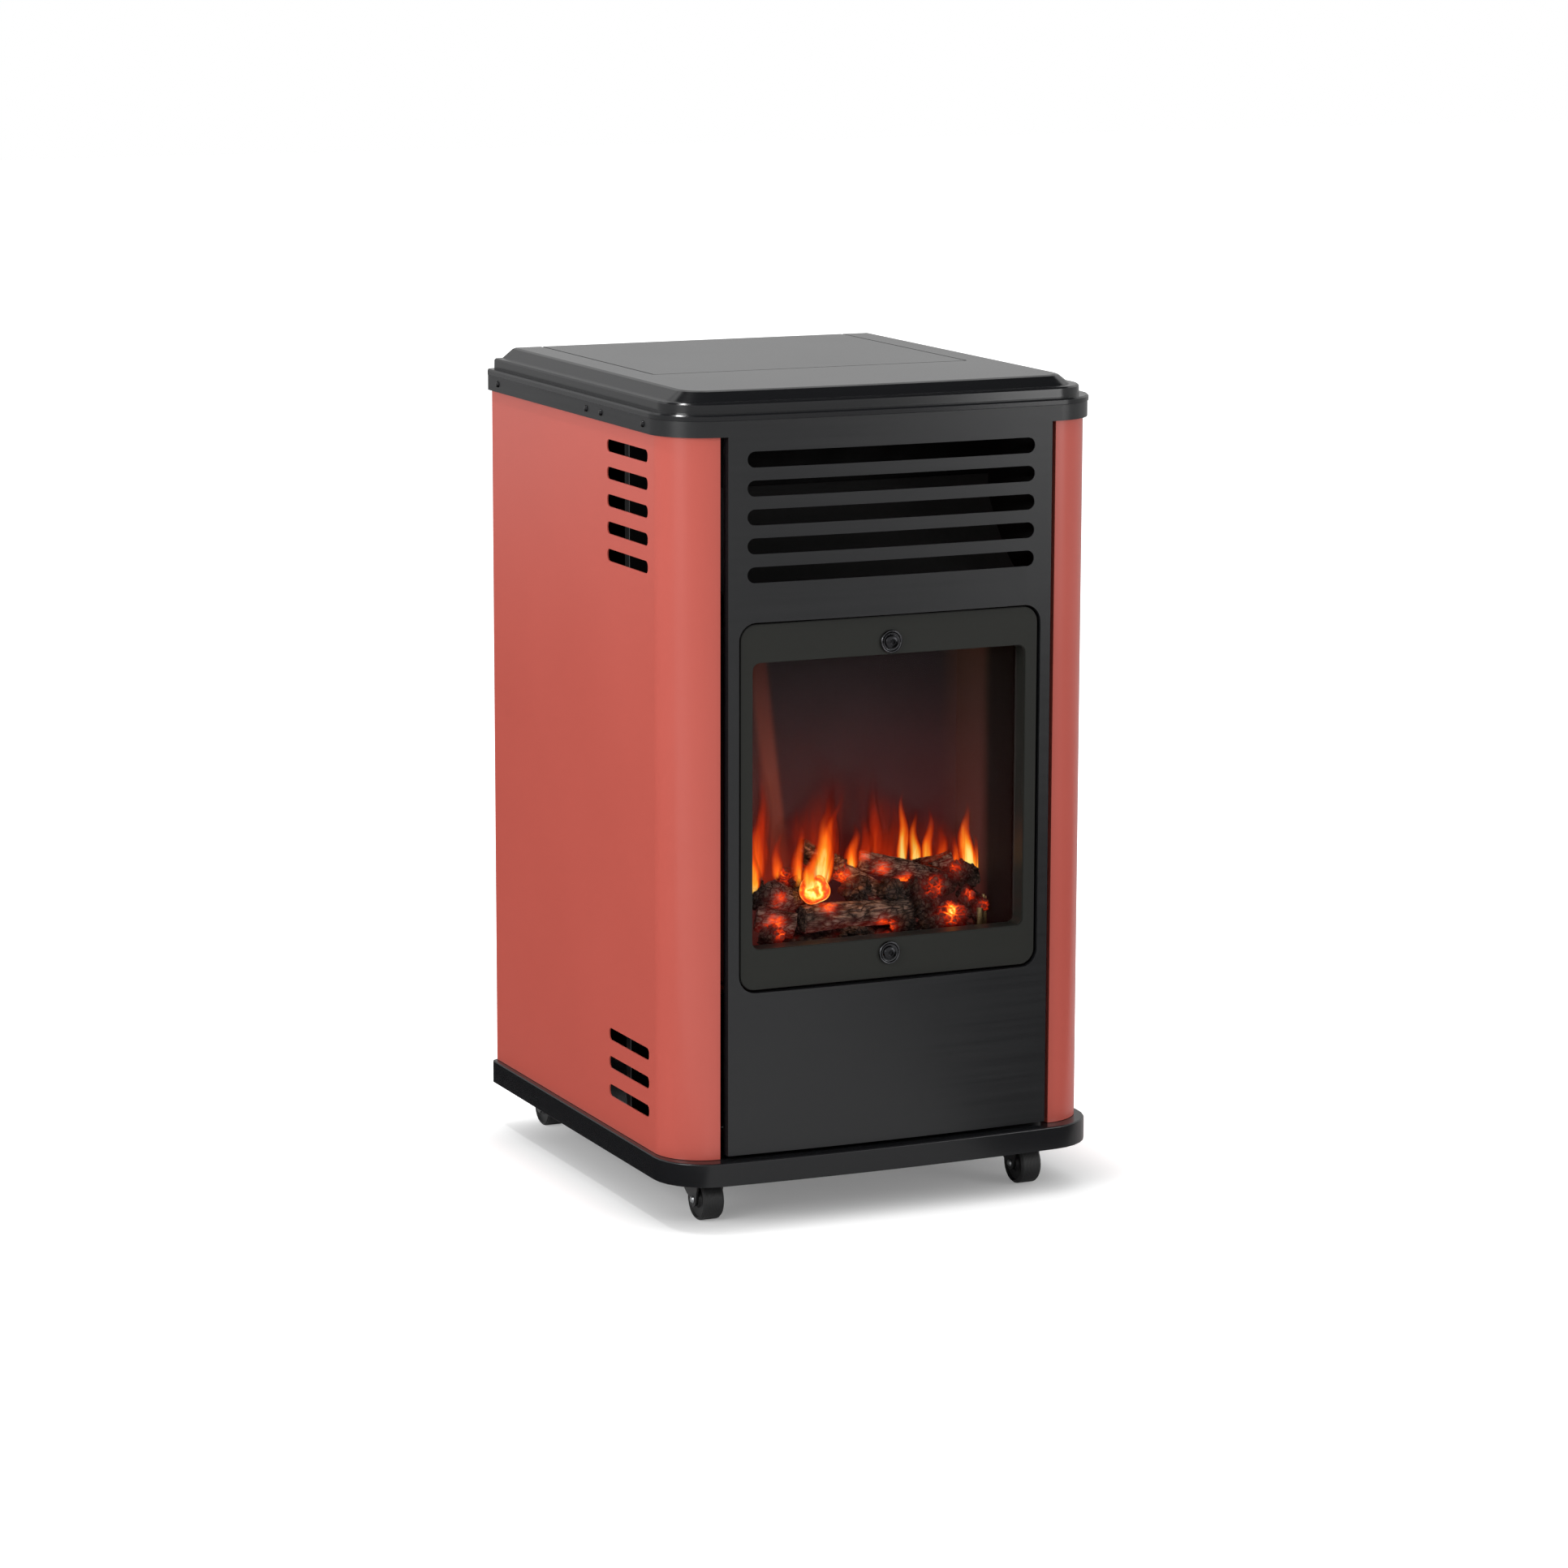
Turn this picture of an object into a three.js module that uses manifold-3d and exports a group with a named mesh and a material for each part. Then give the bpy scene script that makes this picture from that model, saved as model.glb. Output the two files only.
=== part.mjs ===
// Portable gas cabinet heater: a rolling sheet-steel cabinet with a log-effect fire behind glass,
// a bay for the gas cylinder at the back and the controls under a hinged lid.
// Millimetres, +Z up, the front faces -Y. The origin is on the floor, under the middle of the cabinet.
import * as THREE from "three";
import { mergeVertices } from "three/addons/utils/BufferGeometryUtils.js";
import Module from "manifold-3d";

const wasm = await Module();
wasm.setup();

// ---------------------------------------------------------------- driving dimensions

const OVERALL_HEIGHT = 738;
const CABINET_WIDTH = 410; // over the painted side panels
const CABINET_DEPTH = 428; // from the front of the corner columns to the back edge
const CORNER_RADIUS = 44; // the quarter-round columns at the front
const REAR_CORNER_RADIUS = 1;
const FRONT_BOW = 5; // how far the front swells in plan
const SHEET = 1.2; // steel sheet of the shell
const FIT = 0.3; // clearance between pieces that touch

const BASE_SIDE_OVERHANG = 5;
const BASE_FRONT_OVERHANG = 14;
const REAR_OVERHANG = 3;
const SKIRT_BOTTOM = 43;
const PAN_EDGE = 1.5; // the rolled edge round the deck
const DECK_VENT_PITCH = 30;
const DECK_VENT_WIDTH = 9;
const DECK_VENT_LENGTH = 90;
const FLOOR_TOP = 64; // the deck that the cylinder stands on

const BAND_OVERHANG = 4; // the fascia's band round the top of the cabinet
const BAND_BOTTOM = OVERALL_HEIGHT - 37.5;
const BAND_TOP = OVERALL_HEIGHT - 23.5;
const BAND_FLANGE = 14; // the band's inward flange, which carries the top cover

const LIP_OVERHANG = 5;
const LIP_TOP = OVERALL_HEIGHT - 18;
const STEP_INSET = 3.8;
const STEP_TOP = OVERALL_HEIGHT - 9;
const BEVEL_FOOT_INSET = 12;
const BEVEL_HEAD_INSET = 22;
const CROWN_EASE = 1; // the soft rise from the bevel's head to the flat top
const COVER_SHEET = 1.5;
const COLLAR_DEPTH = 13; // the fold round the lid's well
const COVER_SKIRT_BOTTOM = OVERALL_HEIGHT - 41; // the top cover's skirt at the back

const LID_WIDTH = 306;
const LID_SETBACK = 164; // from the columns' front to the front edge of the lid
const LID_GAP = 1.6;
const LID_SIDE_FLANGE = 11;
const HINGE_ROD_RADIUS = 2;
const HINGE_DROP = 6.5; // the hinge rod below the lid's top
const HINGE_SETBACK = 6; // the hinge rod in from the back of the lid

const PANEL_WIDTH = 311; // the black front between the columns
const PANEL_BOTTOM = 67.5;
const PANEL_RETURN = 10;
const COLUMN_RETURN = 14;
const REAR_FLANGE = 14;
const COVER_RIM = 5; // the rear cover's folded rim

const VENT_COUNT = 5;
const VENT_WIDTH = 276;
const VENT_HEIGHT = 13.9;
const VENT_PITCH = 25;
const TOP_VENT_Z = OVERALL_HEIGHT - 57.5;

const SIDE_SLOT_SETBACK = 56; // from the columns' front to the slots
const SIDE_SLOT_LENGTH = 92;
const SIDE_SLOT_HEIGHT = 11;
const SIDE_SLOT_CORNER = 4.5;
const UPPER_SLOT_COUNT = 5;
const UPPER_SLOT_Z = OVERALL_HEIGHT - 58.2;
const UPPER_SLOT_PITCH = 24.2;
const LOWER_SLOT_COUNT = 3;
const LOWER_SLOT_Z = 150.3;
const LOWER_SLOT_PITCH = 25.8;

const WINDOW_WIDTH = 287;
const WINDOW_BOTTOM = 214;
const WINDOW_TOP = OVERALL_HEIGHT - 201;
const WINDOW_RADIUS = 14;
const WINDOW_GAP = 2; // shadow gap round the window frame
const WINDOW_RECESS = 1; // its face behind the panel's side edges
const OPENING_WIDTH = 263;
const OPENING_BOTTOM = 250;
const OPENING_TOP = OVERALL_HEIGHT - 235;
const OPENING_RADIUS = 7;
const FRAME_FACE = 3;
const FRAME_RETURN = 18; // the depth from the frame's face back to the gasket
const GLASS = 4;
const GASKET = 2;
const GLASS_LAP = 6; // how far the glass reaches behind the frame

const WINDOW_SCREW_INSET = 22.6; // from the frame's outer edge to the screw
const SCREW_RADIUS = 3;
const SCREW_HEAD_RADIUS = 6.4;
const SCREW_HEAD = 3.2;
const CUP_RADIUS = 10.5;
const CUP_HEIGHT = 2.6;
const CUP_RIM = 1.6; // the cup washer's raised rim

const SHIELD_SETBACK = 100; // from the columns' front to the sheet between fire and cylinder
const LINER_FRONT_WIDTH = 272;
const LINER_BACK_WIDTH = 222;
const LINER_BACK_BOW = 7;
const LINER_DEPTH = 68;
const LINER_BOTTOM = 225;
const LINER_TOP = OVERALL_HEIGHT - 195;
const TRAY_HEIGHT = 19;
const TRAY_WIDTH = 212;
const TRAY_DEPTH = 56;
const TRAY_TAPER = 22; // how much narrower the tray's back is at each side
const EMBER_RISE = 7;
const PILOT_ROOM = 30; // beside the tray, where the pilot burner stands

const CONTROL_PANEL_Z = OVERALL_HEIGHT - 33;
const CONTROL_PANEL_DEPTH = 84;
const KNOB_X = -62;
const CONTROL_SETBACK = 43; // from the lid's front edge to the knob and the igniter
const KNOB_RADIUS = 22;
const KNOB_HEIGHT = 20;
const KNOB_TRAVEL = 3;
const STEM_RADIUS = 4;
const IGNITER_X = 30;
const BUTTON_RADIUS = 6.5;
const BUTTON_TRAVEL = 5;
const VALVE_HEIGHT = 52;
const PIPE_RADIUS = 4;

const BAND_SCREW_RADIUS = 1.6;
const BAND_SCREW_HEAD = 3.1;
const BAND_SCREW_SETBACKS = { front: 57, middle: 152.3, centre: 186.2, rear: CABINET_DEPTH - 26.5 };

const WHEEL_RADIUS = 19;
const WHEEL_WIDTH = 20;
const HUB_RADIUS = 7;
const TREAD = 3.2;
const WHEEL_DISH = 2.5; // the web set in from the hub and the tread
const AXLE_RADIUS = 2.5;
const CASTOR_TRAIL = 14;
const CHEEK = 2;
const CHEEK_CLEARANCE = 0.8;
const FORK_RISE = 2.5; // the fork's bridge above the wheel
const FORK_BRIDGE = 2.2;
const FORK_BOSS_RADIUS = 13;
const FORK_BOSS_HEIGHT = 8;
const KINGPIN_RADIUS = 3;
const CASTOR_PLATE = 2;
const CASTOR_PLATE_WIDTH = 40;
const CASTOR_X = CABINET_WIDTH / 2 - 48;
const FRONT_CASTOR_SETBACK = 55; // from the columns' front to the swivel
const REAR_CASTOR_INSET = 32;

// ---------------------------------------------------------------- places that follow from them

const HALF_WIDTH = CABINET_WIDTH / 2;
const CENTRE_SHIFT = (BASE_FRONT_OVERHANG + FRONT_BOW - REAR_OVERHANG) / 2;
const FRONT = -CABINET_DEPTH / 2 + CENTRE_SHIFT;
const REAR = CABINET_DEPTH / 2 + CENTRE_SHIFT;
const PANEL_EDGE = FRONT - BAND_OVERHANG; // the fascia's face at its sides
const FRAME_FRONT = PANEL_EDGE + WINDOW_RECESS;
const GASKET_FRONT = FRAME_FRONT + FRAME_RETURN + FIT;
const GLASS_FRONT = GASKET_FRONT + GASKET + FIT;
const FLANGE_FRONT = GLASS_FRONT + GLASS + FIT; // the firebox's front flange
const FLANGE_BACK = FLANGE_FRONT + SHEET;
const COVER_REAR = REAR + REAR_OVERHANG;
const LID_FRONT = FRONT + LID_SETBACK;
const SHIELD_FRONT = FRONT + SHIELD_SETBACK;
// How far the liner spreads at each side where the tray and its pilot need more than its own width.
const LINER_SPREAD = Math.max(0, (TRAY_WIDTH - LINER_FRONT_WIDTH) / 2 + PILOT_ROOM);
const LINER_HALF = LINER_FRONT_WIDTH / 2 + LINER_SPREAD;
const KNOB_Y = LID_FRONT + CONTROL_SETBACK;
const HINGE_Y = COVER_REAR - HINGE_SETBACK;
const HINGE_Z = OVERALL_HEIGHT - HINGE_DROP;
const LID_UNDERSIDE = OVERALL_HEIGHT - COVER_SHEET;
const CONTROL_PANEL_TOP = CONTROL_PANEL_Z + SHEET;

// ---------------------------------------------------------------- shaping tools

const IDENTITY = new THREE.Matrix4();
const ALONG_X = new THREE.Matrix4().makeBasis(
  new THREE.Vector3(0, 1, 0),
  new THREE.Vector3(0, 0, 1),
  new THREE.Vector3(1, 0, 0),
);

// A closed geometry as a solid for joining and cutting, facing outwards.
function solidOf(geometry, matrix = IDENTITY) {
  const bare = new THREE.BufferGeometry();
  bare.setAttribute("position", geometry.getAttribute("position").clone());
  if (geometry.index) bare.setIndex(geometry.index.clone());
  bare.applyMatrix4(matrix);
  const merged = mergeVertices(bare, 1e-4);
  const triVerts = new Uint32Array(merged.index.array);
  const vertProperties = merged.attributes.position.array;
  const made = new wasm.Manifold(new wasm.Mesh({ numProp: 3, vertProperties, triVerts }));
  if (made.volume() > 0) return made;
  for (let i = 0; i < triVerts.length; i += 3)
    [triVerts[i + 1], triVerts[i + 2]] = [triVerts[i + 2], triVerts[i + 1]];
  return new wasm.Manifold(new wasm.Mesh({ numProp: 3, vertProperties, triVerts }));
}

function extrude(shape, depth, curveSegments) {
  return new THREE.ExtrudeGeometry(shape, { depth, curveSegments, bevelEnabled: false });
}

// A plan (X, Y) raised from z0 to z1.
function raised(shape, z0, z1, segments = 6) {
  return solidOf(extrude(shape, z1 - z0, segments).translate(0, 0, z0));
}

// A front elevation (X, Z) pulled from y0 back to y1.
function pulledBack(shape, y0, y1, segments = 6) {
  return solidOf(extrude(shape, y1 - y0, segments).rotateX(Math.PI / 2).translate(0, y1, 0));
}

// A side elevation (Y, Z) pulled across from x0 to x1.
function pulledAcross(shape, x0, x1, segments = 6) {
  return solidOf(extrude(shape, x1 - x0, segments).applyMatrix4(ALONG_X).translate(x0, 0, 0));
}

function block(x0, x1, y0, y1, z0, z1) {
  const box = new THREE.BoxGeometry(x1 - x0, y1 - y0, z1 - z0);
  return solidOf(box.translate((x0 + x1) / 2, (y0 + y1) / 2, (z0 + z1) / 2));
}

// A profile of [radius, height] points turned about the Z axis.
function turned(profile, segments = 24) {
  const points = profile.map(([r, z]) => new THREE.Vector2(r, z));
  return solidOf(new THREE.LatheGeometry(points, segments).rotateX(Math.PI / 2));
}

function cylinder(radius, z0, z1, segments = 20) {
  return turned([[0, z0], [radius, z0], [radius, z1], [0, z1]], segments);
}

function polygon(points) {
  return new THREE.Shape(points.map(([u, v]) => new THREE.Vector2(u, v)));
}

// A rectangle with round corners, between u0..u1 and v0..v1.
function roundedRect(u0, u1, v0, v1, radius) {
  const shape = new THREE.Shape();
  const r = Math.min(radius, (u1 - u0) / 2 - 0.01, (v1 - v0) / 2 - 0.01);
  shape.moveTo(u0 + r, v0);
  shape.lineTo(u1 - r, v0);
  shape.absarc(u1 - r, v0 + r, r, -Math.PI / 2, 0);
  shape.lineTo(u1, v1 - r);
  shape.absarc(u1 - r, v1 - r, r, 0, Math.PI / 2);
  shape.lineTo(u0 + r, v1);
  shape.absarc(u0 + r, v1 - r, r, Math.PI / 2, Math.PI);
  shape.lineTo(u0, v0 + r);
  shape.absarc(u0 + r, v0 + r, r, Math.PI, Math.PI * 1.5);
  return shape;
}

function frameShape(outer, inner) {
  outer.holes.push(inner);
  return outer;
}

// Rings of equal point counts joined into one closed skin, with flat ends.
function lofted(rings) {
  const count = rings[0].length;
  const positions = rings.flat().flatMap((p) => [p.x, p.y, p.z]);
  const index = [];
  for (let r = 0; r + 1 < rings.length; r++)
    for (let i = 0; i < count; i++) {
      const a = r * count + i;
      const b = r * count + ((i + 1) % count);
      index.push(a, b, b + count, a, b + count, a + count);
    }
  const ends = [[rings[0], 0, true], [rings.at(-1), (rings.length - 1) * count, false]];
  for (const [ring, start, turnedOver] of ends) {
    const origin = ring[0];
    const u = ring[Math.floor(count / 4)].clone().sub(origin).normalize();
    const n = u.clone().cross(ring[Math.floor(count / 2)].clone().sub(origin)).normalize();
    const v = n.clone().cross(u);
    const flat = ring.map((p) => {
      const d = p.clone().sub(origin);
      return new THREE.Vector2(d.dot(u), d.dot(v));
    });
    for (const [a, b, c] of THREE.ShapeUtils.triangulateShape(flat, []))
      index.push(start + a, start + (turnedOver ? c : b), start + (turnedOver ? b : c));
  }
  const geometry = new THREE.BufferGeometry();
  geometry.setAttribute("position", new THREE.Float32BufferAttribute(positions, 3));
  geometry.setIndex(index);
  return solidOf(geometry);
}

// ---------------------------------------------------------------- the cabinet's plan

// Points round an arc, from one angle to another.
function arcPoints(cx, cy, radius, from, to, steps) {
  return Array.from({ length: steps + 1 }, (_, i) => {
    const angle = from + ((to - from) * i) / steps;
    return [cx + radius * Math.cos(angle), cy + radius * Math.sin(angle)];
  });
}

// The cabinet's plan, grown: two round front corners, a swollen front and nearly square back corners.
function planPoints(side, rear = side, front = side) {
  const halfWidth = HALF_WIDTH + side;
  const radius = CORNER_RADIUS + side;
  const rearRadius = Math.max(REAR_CORNER_RADIUS + side, 1);
  const lean = Math.atan((2 * FRONT_BOW) / (halfWidth - radius));
  const x = halfWidth - radius;
  const y = FRONT - front + radius;
  const rearX = halfWidth - rearRadius;
  const rearY = REAR + rear - rearRadius;
  const right = Math.PI / 2;
  const halfChord = x + radius * Math.sin(lean);
  const chordY = y - radius * Math.cos(lean);
  const bow = FRONT_BOW + chordY - (FRONT - front);
  const swell = [];
  for (let share = -0.8; share < 0.9; share += 0.2)
    swell.push([halfChord * share, chordY - bow * (1 - share * share)]);
  return [
    ...arcPoints(x, y, radius, lean - right, 0, 7),
    ...arcPoints(rearX, rearY, rearRadius, 0, right, 2),
    ...arcPoints(-rearX, rearY, rearRadius, right, 2 * right, 2),
    ...arcPoints(-x, y, radius, 2 * right, 3 * right - lean, 7),
    ...swell,
  ];
}

function planRing(z, side, rear, front) {
  return planPoints(side, rear, front).map(([x, y]) => new THREE.Vector3(x, y, z));
}

function planSlab(z0, z1, side, rear, front) {
  return raised(polygon(planPoints(side, rear, front)), z0, z1);
}

// ---------------------------------------------------------------- assembly and finishes

const heater = new THREE.Group();
heater.name = "gas_cabinet_heater";

const finish = (color, roughness, metalness) =>
  new THREE.MeshStandardMaterial({ color, roughness, metalness });
const PAINT_RED = finish(0xc5594d, 0.42, 0.1);
const PAINT_BLACK = finish(0x1c1c1e, 0.45, 0.1);
const FRAME_GREY = finish(0x2b2c29, 0.5, 0.3);
const GLASS_CLEAR = finish(0x33302f, 0.05, 0);
const STEEL = finish(0x9a9b9c, 0.4, 0.9);
const SOOTED_STEEL = finish(0x35302c, 0.7, 0.6);
const CERAMIC_LOG = finish(0x5b4a3e, 0.9, 0);
const EMBER = finish(0x8a3b1c, 0.95, 0);
const FIBRE = finish(0xd8d4c8, 0.95, 0);
const BLACK_PLASTIC = finish(0x141415, 0.5, 0);
const BRASS = finish(0xb08d4a, 0.35, 0.9);

function place(name, solid, material) {
  const plain = solid.asOriginal().simplify(0.003);
  const { numProp, numVert, vertProperties, triVerts } = plain.getMesh();
  const positions = new Float32Array(numVert * 3);
  for (let i = 0; i < numVert; i++)
    positions.set(vertProperties.subarray(i * numProp, i * numProp + 3), i * 3);
  const indexed = new THREE.BufferGeometry();
  indexed.setAttribute("position", new THREE.BufferAttribute(positions, 3));
  indexed.setIndex(new THREE.BufferAttribute(new Uint32Array(triVerts), 1));
  const geometry = indexed.toNonIndexed();
  geometry.computeVertexNormals();
  const mesh = new THREE.Mesh(geometry, material);
  mesh.name = name;
  heater.add(mesh);
  return mesh;
}

function mirroredX(solid) {
  return solid.mirror([1, 0, 0]);
}

// ---------------------------------------------------------------- base and castors

// Each castor's place, and how far its wheel is turned from trailing to the back.
const CASTORS = {
  front_left: [-CASTOR_X, FRONT + FRONT_CASTOR_SETBACK, 180],
  front_right: [CASTOR_X, FRONT + FRONT_CASTOR_SETBACK, 180],
  rear_left: [-CASTOR_X, REAR - REAR_CASTOR_INSET, 0],
  rear_right: [CASTOR_X, REAR - REAR_CASTOR_INSET, 0],
};

// A pressed pan: a deck with a rolled edge and a skirt that hides the castors' tops.
function basePan() {
  const ring = (z, inset) =>
    planRing(z, BASE_SIDE_OVERHANG - inset, REAR_OVERHANG - inset, BASE_FRONT_OVERHANG - inset);
  const outer = lofted([
    ring(SKIRT_BOTTOM, 0),
    ring(FLOOR_TOP - PAN_EDGE, 0),
    ring(FLOOR_TOP - PAN_EDGE * 0.3, PAN_EDGE * 0.3),
    ring(FLOOR_TOP, PAN_EDGE),
  ]);
  const hollow = planSlab(
    SKIRT_BOTTOM - 1,
    FLOOR_TOP - COVER_SHEET,
    BASE_SIDE_OVERHANG - COVER_SHEET,
    REAR_OVERHANG - COVER_SHEET,
    BASE_FRONT_OVERHANG - COVER_SHEET,
  );
  const vents = [-2, -1, 0, 1, 2].map((place) => {
    const x = place * DECK_VENT_PITCH;
    const half = DECK_VENT_WIDTH / 2;
    const slot = roundedRect(x - half, x + half, -DECK_VENT_LENGTH / 2, DECK_VENT_LENGTH / 2, half);
    return raised(slot, SKIRT_BOTTOM, FLOOR_TOP + 1, 4);
  });
  return vents.reduce((pan, vent) => pan.subtract(vent), outer.subtract(hollow));
}

// The castor's fixed part: a plate against the deck's underside, a raised race and the kingpin.
function castorPlate() {
  const top = FLOOR_TOP - COVER_SHEET - FIT;
  const bridgeBottom = 2 * WHEEL_RADIUS + FORK_RISE;
  const bossTop = bridgeBottom + FORK_BRIDGE + FORK_BOSS_HEIGHT;
  const half = CASTOR_PLATE_WIDTH / 2;
  const plate = raised(roundedRect(-half, half, -half, half, 5), top - CASTOR_PLATE, top, 3);
  const race = cylinder(FORK_BOSS_RADIUS - 2, bossTop + FIT, top - CASTOR_PLATE / 2);
  const headRadius = KINGPIN_RADIUS + 2;
  const pin = turned([
    [0, bridgeBottom - 3.5],
    [headRadius, bridgeBottom - 3],
    [headRadius, bridgeBottom - FIT],
    [KINGPIN_RADIUS, bridgeBottom - FIT],
    [KINGPIN_RADIUS, top - 1],
    [0, top - 1],
  ], 16);
  return plate.add(race).add(pin);
}

// Two cheeks and a bridge over the wheel, with the boss that turns on the kingpin.
function castorFork() {
  const bridgeBottom = 2 * WHEEL_RADIUS + FORK_RISE;
  const bridgeTop = bridgeBottom + FORK_BRIDGE;
  const inner = WHEEL_WIDTH / 2 + CHEEK_CLEARANCE;
  const outer = inner + CHEEK;
  const crown = FORK_BOSS_RADIUS;
  const eye = AXLE_RADIUS + 4;
  const cheek = new THREE.Shape();
  cheek.moveTo(-crown, bridgeTop);
  cheek.lineTo(-crown, bridgeTop - 6);
  cheek.quadraticCurveTo(-crown + 2, WHEEL_RADIUS + 6, CASTOR_TRAIL - eye, WHEEL_RADIUS);
  cheek.absarc(CASTOR_TRAIL, WHEEL_RADIUS, eye, Math.PI, 2 * Math.PI);
  cheek.quadraticCurveTo(CASTOR_TRAIL + eye + 3, WHEEL_RADIUS + 14, CASTOR_TRAIL + 12, bridgeTop);
  const cheeks = pulledAcross(cheek, -outer, outer, 5).subtract(
    block(-inner, inner, -crown - 1, CASTOR_TRAIL + 30, 0, bridgeBottom),
  );
  const boss = cylinder(FORK_BOSS_RADIUS, bridgeBottom, bridgeTop + FORK_BOSS_HEIGHT);
  const bore = cylinder(KINGPIN_RADIUS + FIT, 0, bridgeTop + FORK_BOSS_HEIGHT + 1, 20);
  const axleHole = acrossAxis(AXLE_RADIUS + FIT, -outer - 1, outer + 1, 16);
  return cheeks.add(boss).subtract(bore).subtract(axleHole);
}

// A round bar on the wheel's axis, from x0 to x1.
function acrossAxis(radius, x0, x1, segments = 16) {
  return cylinder(radius, x0, x1, segments).rotate([0, 90, 0]).translate([0, CASTOR_TRAIL, WHEEL_RADIUS]);
}

function castorWheel() {
  const half = WHEEL_WIDTH / 2;
  const web = half - WHEEL_DISH;
  const bore = AXLE_RADIUS + FIT;
  return turned([
    [bore, -half],
    [HUB_RADIUS, -half],
    [HUB_RADIUS + 1, -web],
    [WHEEL_RADIUS - TREAD, -web],
    [WHEEL_RADIUS - TREAD + 0.8, -half],
    [WHEEL_RADIUS - 1.6, -half],
    [WHEEL_RADIUS, -half + 2],
    [WHEEL_RADIUS, half - 2],
    [WHEEL_RADIUS - 1.6, half],
    [WHEEL_RADIUS - TREAD + 0.8, half],
    [WHEEL_RADIUS - TREAD, web],
    [HUB_RADIUS + 1, web],
    [HUB_RADIUS, half],
    [bore, half],
    [bore, -half],
  ], 24).rotate([0, 90, 0]).translate([0, CASTOR_TRAIL, WHEEL_RADIUS]);
}

function castorAxle() {
  const outer = WHEEL_WIDTH / 2 + CHEEK_CLEARANCE + CHEEK + FIT;
  const head = AXLE_RADIUS + 1;
  return turned([
    [0, -outer - 1.4],
    [head * 0.7, -outer - 1.4],
    [head, -outer],
    [AXLE_RADIUS, -outer],
    [AXLE_RADIUS, outer],
    [head, outer],
    [head * 0.7, outer + 1.4],
    [0, outer + 1.4],
  ], 14).rotate([0, 90, 0]).translate([0, CASTOR_TRAIL, WHEEL_RADIUS]);
}

place("base_pan", basePan(), PAINT_BLACK);
for (const [corner, [x, y, turn]] of Object.entries(CASTORS)) {
  const stand = (solid) => solid.rotate([0, 0, turn]).translate([x, y, 0]);
  place(`${corner}_castor_plate`, stand(castorPlate()), STEEL);
  place(`${corner}_castor_fork`, stand(castorFork()), BLACK_PLASTIC);
  place(`${corner}_castor_axle`, stand(castorAxle()), STEEL);
  place(`${corner}_castor_wheel`, stand(castorWheel()), BLACK_PLASTIC);
}

// ---------------------------------------------------------------- side panels

// The plan of the left panel: rear flange, flat side, quarter-round column and its return.
function sidePanelPlan() {
  const left = -HALF_WIDTH;
  const centreX = left + CORNER_RADIUS;
  const centreY = FRONT + CORNER_RADIUS;
  const inner = CORNER_RADIUS - SHEET;
  const start = Math.asin(SHEET / inner);
  const shape = new THREE.Shape();
  shape.moveTo(left + REAR_FLANGE, REAR);
  shape.lineTo(left + 1, REAR);
  shape.lineTo(left, REAR - 1);
  shape.lineTo(left, centreY);
  shape.absarc(centreX, centreY, CORNER_RADIUS, Math.PI, 1.5 * Math.PI);
  shape.lineTo(centreX, FRONT + COLUMN_RETURN);
  shape.lineTo(centreX - SHEET, FRONT + COLUMN_RETURN);
  shape.absarc(centreX, centreY, inner, 1.5 * Math.PI - start, Math.PI, true);
  shape.lineTo(left + SHEET, REAR - SHEET);
  shape.lineTo(left + REAR_FLANGE, REAR - SHEET);
  return shape;
}

function sideSlots() {
  const front = FRONT + SIDE_SLOT_SETBACK;
  const rows = [];
  for (let i = 0; i < UPPER_SLOT_COUNT; i++) rows.push(UPPER_SLOT_Z - i * UPPER_SLOT_PITCH);
  for (let i = 0; i < LOWER_SLOT_COUNT; i++) rows.push(LOWER_SLOT_Z - i * LOWER_SLOT_PITCH);
  return rows.map((z) => {
    const half = SIDE_SLOT_HEIGHT / 2;
    const slot = roundedRect(front, front + SIDE_SLOT_LENGTH, z - half, z + half, SIDE_SLOT_CORNER);
    return pulledAcross(slot, -HALF_WIDTH - 1, -HALF_WIDTH + SHEET + 1, 3);
  });
}

function leftSidePanel() {
  const bottom = FLOOR_TOP + FIT;
  const top = BAND_TOP - SHEET - FIT;
  const shell = raised(sidePanelPlan(), bottom, top, 10);
  const foot = block(
    -HALF_WIDTH + SHEET / 2, -HALF_WIDTH + REAR_FLANGE,
    FRONT + CORNER_RADIUS, REAR - REAR_FLANGE, bottom, bottom + SHEET,
  );
  return sideSlots().reduce((panel, slot) => panel.subtract(slot), shell.add(foot));
}

place("left_side_panel", leftSidePanel(), PAINT_RED);
place("right_side_panel", mirroredX(leftSidePanel()), PAINT_RED);

// ---------------------------------------------------------------- front fascia

// A wall that follows the cabinet's plan, from an outer to an inner line.
function planWall(z0, z1, outer, inner) {
  return planSlab(z0, z1, outer, outer).subtract(planSlab(z0 - 1, z1 + 1, inner, inner));
}

// The band that wraps the top of the cabinet: an outer wall, a hem below and a flange above.
function band() {
  const wall = planWall(BAND_BOTTOM, BAND_TOP, BAND_OVERHANG, BAND_OVERHANG - SHEET);
  const hem = planWall(BAND_BOTTOM, BAND_BOTTOM + SHEET, BAND_OVERHANG, FIT);
  const flange = planWall(BAND_TOP - SHEET, BAND_TOP, BAND_OVERHANG, -BAND_FLANGE);
  const openBack = block(
    -CABINET_WIDTH, CABINET_WIDTH, REAR - SHEET, REAR + CABINET_WIDTH, BAND_BOTTOM - 1, BAND_TOP + 1,
  );
  return wall.add(hem).add(flange).subtract(openBack);
}

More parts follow.
